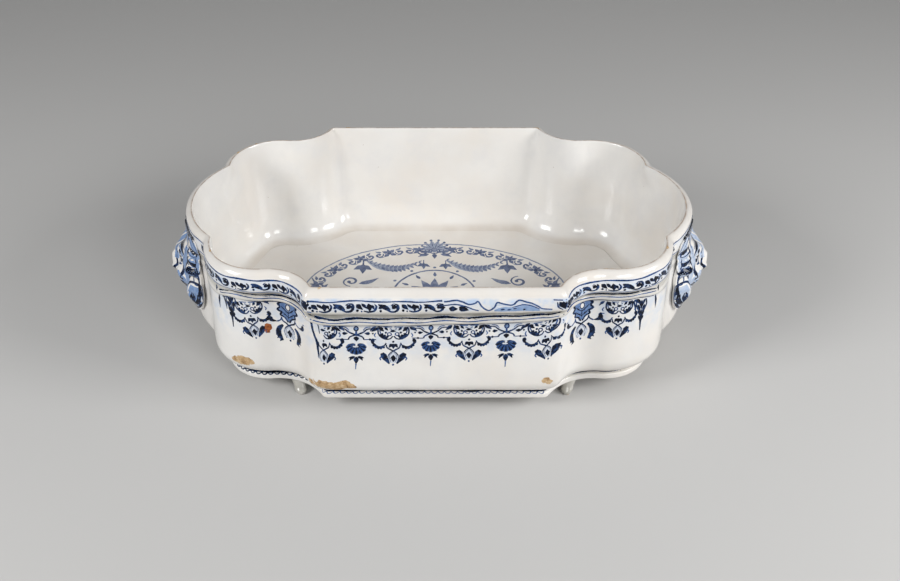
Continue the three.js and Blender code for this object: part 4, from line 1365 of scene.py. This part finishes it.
def rim_frieze(middle):
    """Scrolls and clusters of leaves along the lip of one half of the rim, with a ribbon on its right bay."""
    scroll, cluster, corner = narrowed(leaf_scroll(), 0.86), narrowed(leaf_cluster(), 0.86), corner_leaf()
    pair = 2 * UNIT_PITCH
    end = WALL.length / 4
    frieze = rows_of_motifs(middle, (
        (scroll, -236, pair, 4, FRIEZE_DOWN, 8),
        (cluster, -236 + UNIT_PITCH, pair, 3, FRIEZE_DOWN, 16),
        (corner, -107, 1, 1, FRIEZE_DOWN, 9),
        (cluster, -93, pair, 3, BAY_FRIEZE_DOWN, 17),
        (scroll, -93 + UNIT_PITCH, pair, 3, BAY_FRIEZE_DOWN, 10),
    ))
    frieze.append(repeated(lip_ribbon(), middle, 1, 1, sway=0.0, seed=11))
    frieze += rows_of_motifs(middle, (
        (corner, 105, 8, 2, FRIEZE_DOWN, 12),
        (cluster, 124, pair, 4, FRIEZE_DOWN, 13),
        (scroll, 124 + UNIT_PITCH, pair, 3, FRIEZE_DOWN, 19),
        (corner, -250, 500, 2, FRIEZE_DOWN, 20),
        (cluster, -end + 6, pair, 2, FRIEZE_DOWN, 21),
        (scroll, -end + 6 + UNIT_PITCH, pair, 1, FRIEZE_DOWN, 24),
        (cluster, end - 6 - pair, pair, 2, FRIEZE_DOWN, 25),
        (scroll, end - 6 - UNIT_PITCH, pair, 1, FRIEZE_DOWN, 26),
    ))
    for start, finish, lower in ((-end, -109, 0), (-109, 9, 2.2), (97, end, 0)):
        level = -OUTLINE_DOWN - lower
        frieze.append(brushed_line(level, middle + start, middle + finish, 0.55, 1.2, 0.75))
        frieze.append(brushed_line(level - 1.7, middle + start, middle + finish, 0.45, 2.2, 0.1))
    for start, finish in ((-end, -100), (104, end)):
        frieze.append(brushed_line(-UNDERLINE_DOWN, middle + start, middle + finish, 0.4, 0.8, 0.6))
    return frieze


def moulding_lines(middle):
    """A strong and a thin line along the bead, and the thin one that the lambrequins hang from."""
    return [
        brushed_line(-BEAD_LINE_DOWN, middle - 206, middle + 208, 0.7, 2.3, 1.0),
        brushed_line(-BEAD_LINE_DOWN - 3.4, middle - 204, middle + 206, 0.4, 0.7, 0.75),
        brushed_line(-BAND_DOWN + 0.5, middle - 204, middle + 206, 0.3, 0.8, 0.9),
    ]


def paint_wall():
    """The wall's painting, front and back alike."""
    for side, middle in (("front", 0.0), ("back", WALL.length / 2)):
        painted(f"lambrequins_{side}", lambrequins(middle), WALL.lay)
        painted(f"rim_frieze_{side}", rim_frieze(middle), WALL.lay)
        painted(f"moulding_lines_{side}", moulding_lines(middle), WALL.lay)


paint_wall()


def paint_ring():
    """A dark line in the angle over the foot ring, partly a cobalt line and partly painted shadow under the
    wall's overhang, and small scallops that wear away to the right.
    """
    arch = [(-3, 0), (-1.6, -1.8), (0, -2.4), (1.6, -1.8), (3, 0)]
    strong = Design().line(arch, (1.6, 0.9, 1.6), 0.95)
    worn = Design().line(arch, (0.7, 0.35, 0.7), 0.62).dot(3, -0.2, 0.5, 0.8)
    for side, middle in (("front", 0.0), ("back", RING.length / 2)):
        runs = [
            repeated(strong, middle - 216, SCALLOP_PITCH, 18, SCALLOP_DOWN, seed=21),
            repeated(worn, middle - 102, SCALLOP_PITCH, 34, SCALLOP_DOWN, seed=22),
            # The dark line is partly painted shadow from the wall's overhang, broadest on the left where that
            # shade is deepest.
            brushed_line(-3.0, middle - 222, middle - 109, 0.35, 4.8, 1.0),
            brushed_line(-3.1, middle - 109, middle + 118, 0.35, 3.4, 1.0),
            brushed_line(-3.0, middle + 118, middle + 220, 0.2, 2.0, 1.0),
        ]
        painted(f"ring_scallops_{side}", runs, RING.lay, 0.3)


def on_floor(places):
    x, y, lift = places.T
    return np.column_stack([x, y, floor_height(x, y) + lift])


def trefoil():
    """A three-lobed leaf on a short stem, pointing up."""
    design = Design().leaf((0, 0), (0, 9), 4.2, load=0.75)
    design.both(Design().leaf((-0.6, 1.2), (-5.4, 5.4), 3.4, -0.4, 0.7))
    return design.line([(0, -4), (0, 1)], 0.8, 0.7)


def border_flower():
    """One link of the oval border: a four-leaved flower between two curls."""
    half = Design()
    half.leaf((-1, 0.8), (-6.4, 5.2), 4.4, load=0.7).leaf((-1, -0.8), (-6.4, -5.2), 4.4, load=0.7)
    half.curl(-10.6, -0.6, 4.6, 20, -0.9, 2.2, 0.72)
    half.leaf((-7.4, 3.4), (-13.4, 6.6), 3.0, 0.7, 0.6).leaf((-12, -4.6), (-6.4, -5.8), 2.2, 0.3, 0.6)
    return Design().both(half).dot(0, 0, 2.0, 0.85).leaf((0, 2), (0, 7.4), 2.8, load=0.75)


def shell():
    """A scallop shell between two scrolls, the pivot of the composition at the ends of both axes."""
    half = Design()
    for k in range(4):
        angle = math.radians(12 + 23 * k)
        tip = np.array([math.sin(angle), math.cos(angle)]) * (17 - 1.5 * k)
        half.line([(0, 0), 0.6 * tip, tip], (1.4, 4.2, 5.0, 1.6), 0.42, 0)
        half.line([0.2 * tip, tip], (0.9, 1.8, 0.9), 0.75)
        half.dot(*(1.1 * tip), 1.5, 0.75)
    half.curl(-12, -4, 6.4, 90, 1.1, 2.4, 0.75)
    half.leaf((-6, -8), (-17, -13), 4.6, -1.0, 0.7)
    half.line([(-5, -3), (-17, -1), (-28, 3.5)], (1.8, 2.4, 1.0), 0.7)
    design = Design().both(half)
    design.oval(0, -2, 5.4, 4.2, 1.7, 0.78).dot(0, -2, 2.2, 0.6)
    return design.leaf((0, -7), (0, -16), 4.4, load=0.72)


def swag(width, drop):
    """A thick garland of leaves hung between two points `width` apart, washed blue underneath."""
    design = Design()
    x = np.linspace(-width / 2, width / 2, 15)
    y = -drop * (1 - (2 * x / width) ** 2)
    design.line(list(zip(x[::3], y[::3])), (1.6, 5, 8, 9, 8, 5, 1.6), 0.36, 0)
    design.line(list(zip(x[::3], y[::3])), 1.3, 0.6)
    for k in range(14):
        size = 2.0 + 3.0 * math.sin(math.pi * (k + 0.5) / 14)
        for sign in (-1, 1):
            design.leaf((x[k], y[k]), (x[k] + 3.4, y[k] + sign * 1.2 * size), size * 0.85, 0.2 * sign, 0.62)
    return design


def paint_floor():
    """The floor's composition: a ringed rosette, shells at the ends of the axes, swags and an oval border."""
    half_length, half_width = 120, 78
    links = 20
    design = Design()
    angle = np.linspace(0, 2 * math.pi, 721)
    oval = np.column_stack([half_length * np.cos(angle), half_width * np.sin(angle)])
    run = distances(oval)
    link = border_flower()
    for k in range(links):
        turn = np.interp((k + 0.5) / links * run[-1], run, angle)
        if abs(math.sin(2 * turn)) < 0.16:
            continue
        place = (half_length * math.cos(turn), half_width * math.sin(turn))
        outward = math.degrees(math.atan2(place[1] * half_length**2, place[0] * half_width**2)) - 90
        design.add(link, *place, turn=outward, size=1.02)
    for x, y, turn in ((0, 1, 0), (0, -1, 180), (1, 0, -90), (-1, 0, 90)):
        design.add(shell(), x * half_length, y * half_width, turn)
    for side in (-1, 1):
        inward = 180 if side > 0 else 0
        for end in (-1, 1):
            design.add(swag(58, 15), end * 41, side * (half_width - 19), 180 - inward)
            design.add(trefoil(), end * 73, side * (half_width - 26), inward, 1.8)
            design.add(trefoil(), end * 11, side * (half_width - 24), inward, 1.2)
            design.curl(end * 84, side * 22, 9, 90 if end > 0 else 270, 1.2 * end * side, 2.6, 0.7)
            design.leaf((end * 76, side * 18), (end * 56, side * 28), 6.2, 1.6 * end * side, 0.6)
    for k in range(12):
        angle = math.radians(30 * k)
        out = np.array([math.cos(angle), math.sin(angle)])
        design.leaf(out * 8, out * 27, 7.4, load=0.6)
        design.leaf(out * 30, out * 38, 3.6, load=0.7)
        design.dot(*(out * 46), 1.6, 0.65)
    design.oval(0, 0, 41, 41, 1.8, 0.66).oval(0, 0, 6, 6, 2.2, 0.8).dot(0, 0, 2.8, 0.8)
    design.oval(0, 0, half_length + 11, half_width + 11, 1.5, 0.5)
    painted("floor_ornament", [stroke_arrays(design)], on_floor, 0.9, HAZY_COBALT)


def on_mask(turn):
    return lambda places: mask_point(places[:, 0], places[:, 1], places[:, 2] * 1.6, turn)


def mask_features():
    """The blue line-work of half a mask, in millimetres across and up from its middle."""
    half = Design()
    half.line([(8, 40), (22, 46), (40, 46.5), (53, 42), (60, 35)], (1.4, 2.6, 2.6, 2.2, 1.4), 0.95)
    half.line([(12, 37), (30, 41), (47, 39.5), (57, 33)], (1.0, 2.0, 1.6, 0.8), 0.85)
    for v in (33.5, 20.8):
        half.line([(43, v - 1), (52, v - 1.6), (60, v)], (1.2, 4.4, 4.6, 2.6), 1.0)
        half.line([(42, v - 5), (51, v - 6), (60, v - 4.6)], (0.8, 1.5, 1.0), 0.8)
    half.line([(43, 28.6), (52, 27.6), (60, 29)], (0.8, 1.4, 0.8), 0.8)
    half.line([(60, 15), (53, 11.6), (45, 12.6)], (3.0, 8.0, 6.4, 2.4), 0.98)
    half.line([(54, 13), (47, 6), (44, 0)], (3.6, 3.4, 1.6), 0.95)
    half.oval(55, 2.6, 3.6, 4.6, 1.3, 0.85)
    half.line([(40, 40), (42.5, 26), (40, 13), (35, 3)], (1.2, 2.4, 2.8, 1.6), 0.95)
    half.line([(36, 38), (37, 28), (35, 19)], (0.8, 1.4, 0.8), 0.75)
    half.comma([(7, 17.6), (18, 22.4), (34, 16)], 6.4)
    half.line([(9, 25.6), (20, 28.6), (32, 24)], (1.6, 3.0, 1.4), 0.92)
    half.line([(11, 32.6), (20, 34.6), (30, 31)], (1.0, 2.2, 1.0), 0.85)
    half.oval(20, 9.4, 6.8, 3.8, 2.4, 1.0).dot(19.6, 9.2, 2.8)
    half.line([(11, 4), (19, 2.2), (28, 5)], (0.8, 1.8, 0.8), 0.8)
    half.line([(30.5, 11), (33.5, 2), (30, -8)], (1.2, 3.0, 1.4), 0.95)
    half.line([(4.6, 9), (5.4, 0), (9, -6), (8.6, -12)], (1.8, 1.3, 1.4, 2.0), 0.95)
    half.line([(0, -16.6), (5, -15.8), (9, -12)], (3.8, 3.4, 1.6), 1.0)
    half.line([(2.6, -19.4), (12, -18.6), (24, -13), (33, -7)], (2.4, 4.6, 4.8, 1.8), 1.0)
    half.line([(1, -23), (13, -22.6), (26, -18.6), (37, -12)], (3.4, 3.8, 3.4, 1.6), 1.0)
    half.line([(0, -28), (8, -27.4), (16, -24.8)], (2.0, 1.6, 1.0), 0.9)
    half.line([(20, -26), (29, -22.4), (38, -19)], (1.2, 2.4, 1.2), 0.92)
    half.line([(5, -34.4), (12, -31.6), (17, -28)], (1.8, 2.2, 1.0), 0.9)
    for across in (3, 8, 13):
        half.comma([(across, -36), (1.1 * across, -40), (1.2 * across, -44)], 2.4, 0.92)
    half.line([(4, 27), (8, 36), (16, 42)], (1.2, 3.0, 1.4), 0.95)
    half.line([(2.6, 30), (6, 38), (7.4, 44)], (1.0, 2.2, 1.0), 0.9)
    lobe = [(60, -1), (61.5, -10), (58, -21), (50, -31), (43, -33), (39.5, -26), (41.5, -13), (47, -2)]
    half.line(lobe, (1.8, 1.6, 2.2, 1.8), 0.95, closed=True)
    half.line([(58, -1), (58, -11), (54.6, -20), (49, -27)], (2.2, 4.6, 5.4, 3.0), 1.0)
    half.line([(50, -12), (48.4, -20), (45.6, -27)], (2.0, 7.0, 6.4, 2.6), 0.92)
    return half


def mask_wash(load):
    """Broad strokes under the lines of half a mask: over its hair, eye, cheek and hanging lock."""
    half = Design()
    half.line([(44, 43), (53, 36), (53, 18), (52, 8)], (4, 13, 14, 10), load, 0)
    half.line([(8, 14), (20, 16), (34, 9)], (4, 10, 6), load, 0)
    half.line([(26, -2), (34, -12), (36, -22)], (5, 10, 6), load, 0)
    half.line([(12, 38), (26, 40), (38, 36)], (5, 9, 6), load, 0)
    half.line([(38, 30), (36, 16), (40, 0), (42, -14)], (5, 8, 9, 6), load, 0)
    half.line([(12, -10), (19, -17), (28, -27)], (4, 9, 7), load, 0)
    half.line([(3, 22), (4, 8), (7, -3)], (4, 5, 4), load, 0)
    half.line([(3, -31), (10, -33), (18, -32)], (5, 8, 6), load, 0)
    return half.line([(53, -4), (52, -16), (46, -27)], (8, 13, 9), load, 0)


def mask_edge_line():
    """A line that follows the mask's edge just inside it."""
    angle, edge = mask_edge(90, 0.965)
    design = Design()
    design.strokes.append((edge.T, 1.5 + 0.5 * np.sin(5 * angle), 0.9, 1, True))
    return design


def paint_masks():
    """Both masks, the left one washed deeper."""
    for turn, side, load in ((1, "right", 0.16), (-1, "left", 0.3)):
        design = Design().both(mask_wash(load)).both(mask_features()).add(mask_edge_line())
        design.line([(0, 27), (0, 42)], (1.4, 3.0, 1.2), 0.92)
        painted(f"mask_painting_{side}", [stroke_arrays(design)], on_mask(turn), 0.5)


paint_ring()
paint_floor()
paint_masks()


def bare_patch(x, y, length, width, ragged, seed):
    """A place where the glaze has flaked off or never took, longer than it is wide."""
    run = np.linspace(-length / 2, length / 2, max(6, round(length / 1.2)))
    edge = np.sqrt(np.maximum(1 - (2 * run / length) ** 2, 0.02))
    rough = np.array([noise.noise(Vector((v / 2.2, seed, 0.3))) for v in run])
    drift = np.array([noise.noise(Vector((v / 5, seed, 7.7))) for v in run])
    design = Design()
    points = np.column_stack([x + run, y + 0.4 * width * drift])
    design.strokes.append((points, width * edge * (1 + ragged * rough), 1, 0, False))
    return stroke_arrays(design)


def chips():
    """Flakes along the arris, a rust-stained one on the left lobe, and bare clay low on the wall."""
    back = WALL.length / 2
    # Bare clay low on the wall by its place along and up, length, width, raggedness and seed, and flakes off
    # the arris by their place along, length and seed.
    low = ((-92, -115, 45, 10, 0.25, 1), (-188, -113, 25, 7, 0.35, 3), (100, -111.5, 12, 5, 0.4, 5),
           (back + 60, -114, 18, 4, 0.6, 7))
    edge = ((232, 5, 8), (-226, 3.4, 9), (-100, 2.4, 10), (back - 108, 4.4, 11), (back + 196, 3, 12),
            (back + 222, 4, 13), (back + 92, 5, 14))
    bare = [bare_patch(*patch) for patch in low]
    bare += [bare_patch(x, -0.8, length, 2.2, 0.7, seed) for x, length, seed in edge]
    painted("bare_clay_chips", bare, WALL.lay, 0.5, BARE_CLAY)
    painted("rust_stained_chip", [bare_patch(-160, -77, 7, 8.5, 0.2, 15)], WALL.lay, 0.3, RUSTY_CLAY)


chips()


# Floor, light and camera.


def stage_floor():
    """A plain pale sweep: a floor that turns up behind the object."""
    width, front, back, rise = 4000, -2200, 1500, 1800
    turn_out, turn_up = 600, 700
    upright = (back + turn_out, turn_up)
    profile = joined(
        bezier(2, (front, 0), (back, 0)),
        bezier(16, (back, 0), (back + 500, 0), upright),
        bezier(1, upright, (back + turn_out, turn_up + rise)),
    )
    points = [(sign * width, y, z) for y, z in profile for sign in (-1, 1)]
    faces = [(2 * k, 2 * k + 1, 2 * k + 3, 2 * k + 2) for k in range(len(profile) - 1)]
    obj = mesh_object("pale_sweep", points, faces)
    material, tree, _ = begin_material("matt_pale_paper")
    end_material(tree, {"Base Color": colour(0xC6C5C3), "Roughness": 0.9})
    obj.data.materials.append(material)


def soft_light(name, place, power):
    """A square soft box at a place in metres, with its power in watts, turned to the middle of the basin."""
    light = bpy.data.lights.new(name, "AREA")
    light.size = 0.55
    light.energy = power
    obj = bpy.data.objects.new(name, light)
    obj.location = place
    obj.rotation_euler = (Vector((0, 0, 0.07)) - Vector(place)).to_track_quat("-Z", "Y").to_euler()
    bpy.context.scene.collection.objects.link(obj)


def studio():
    """A pale floor in a dim room, with one soft box in front and one at each side."""
    stage_floor()
    world = bpy.data.worlds.new("soft_room")
    world.use_nodes = True
    background = world.node_tree.nodes["Background"]
    background.inputs["Color"].default_value = colour(0xE6E8EC)
    background.inputs["Strength"].default_value = 0.2
    bpy.context.scene.world = world
    soft_light("key_softbox", (0.7, -1.4, 1.0), 8.6)
    soft_light("left_softbox", (-1.2, -0.8, 0.95), 15.4)
    soft_light("right_softbox", (1.3, -0.5, 0.8), 13.6)
    bpy.context.scene.view_settings.view_transform = "Standard"


def camera():
    """Set from the photograph: it looks down at the front, with a 48 mm lens on a 36 mm sensor."""
    looking_down = 35.8
    data = bpy.data.cameras.new("camera")
    data.lens = 48
    data.sensor_width = 36
    data.shift_x = 0.0172
    obj = bpy.data.objects.new("camera", data)
    obj.location = (0, -0.9552, 0.7274)
    obj.rotation_euler = (math.radians(90 - looking_down), 0, 0)
    bpy.context.scene.collection.objects.link(obj)
    bpy.context.scene.camera = obj


studio()
camera()


def plain(box):
    return [list(corner) for corner in box]
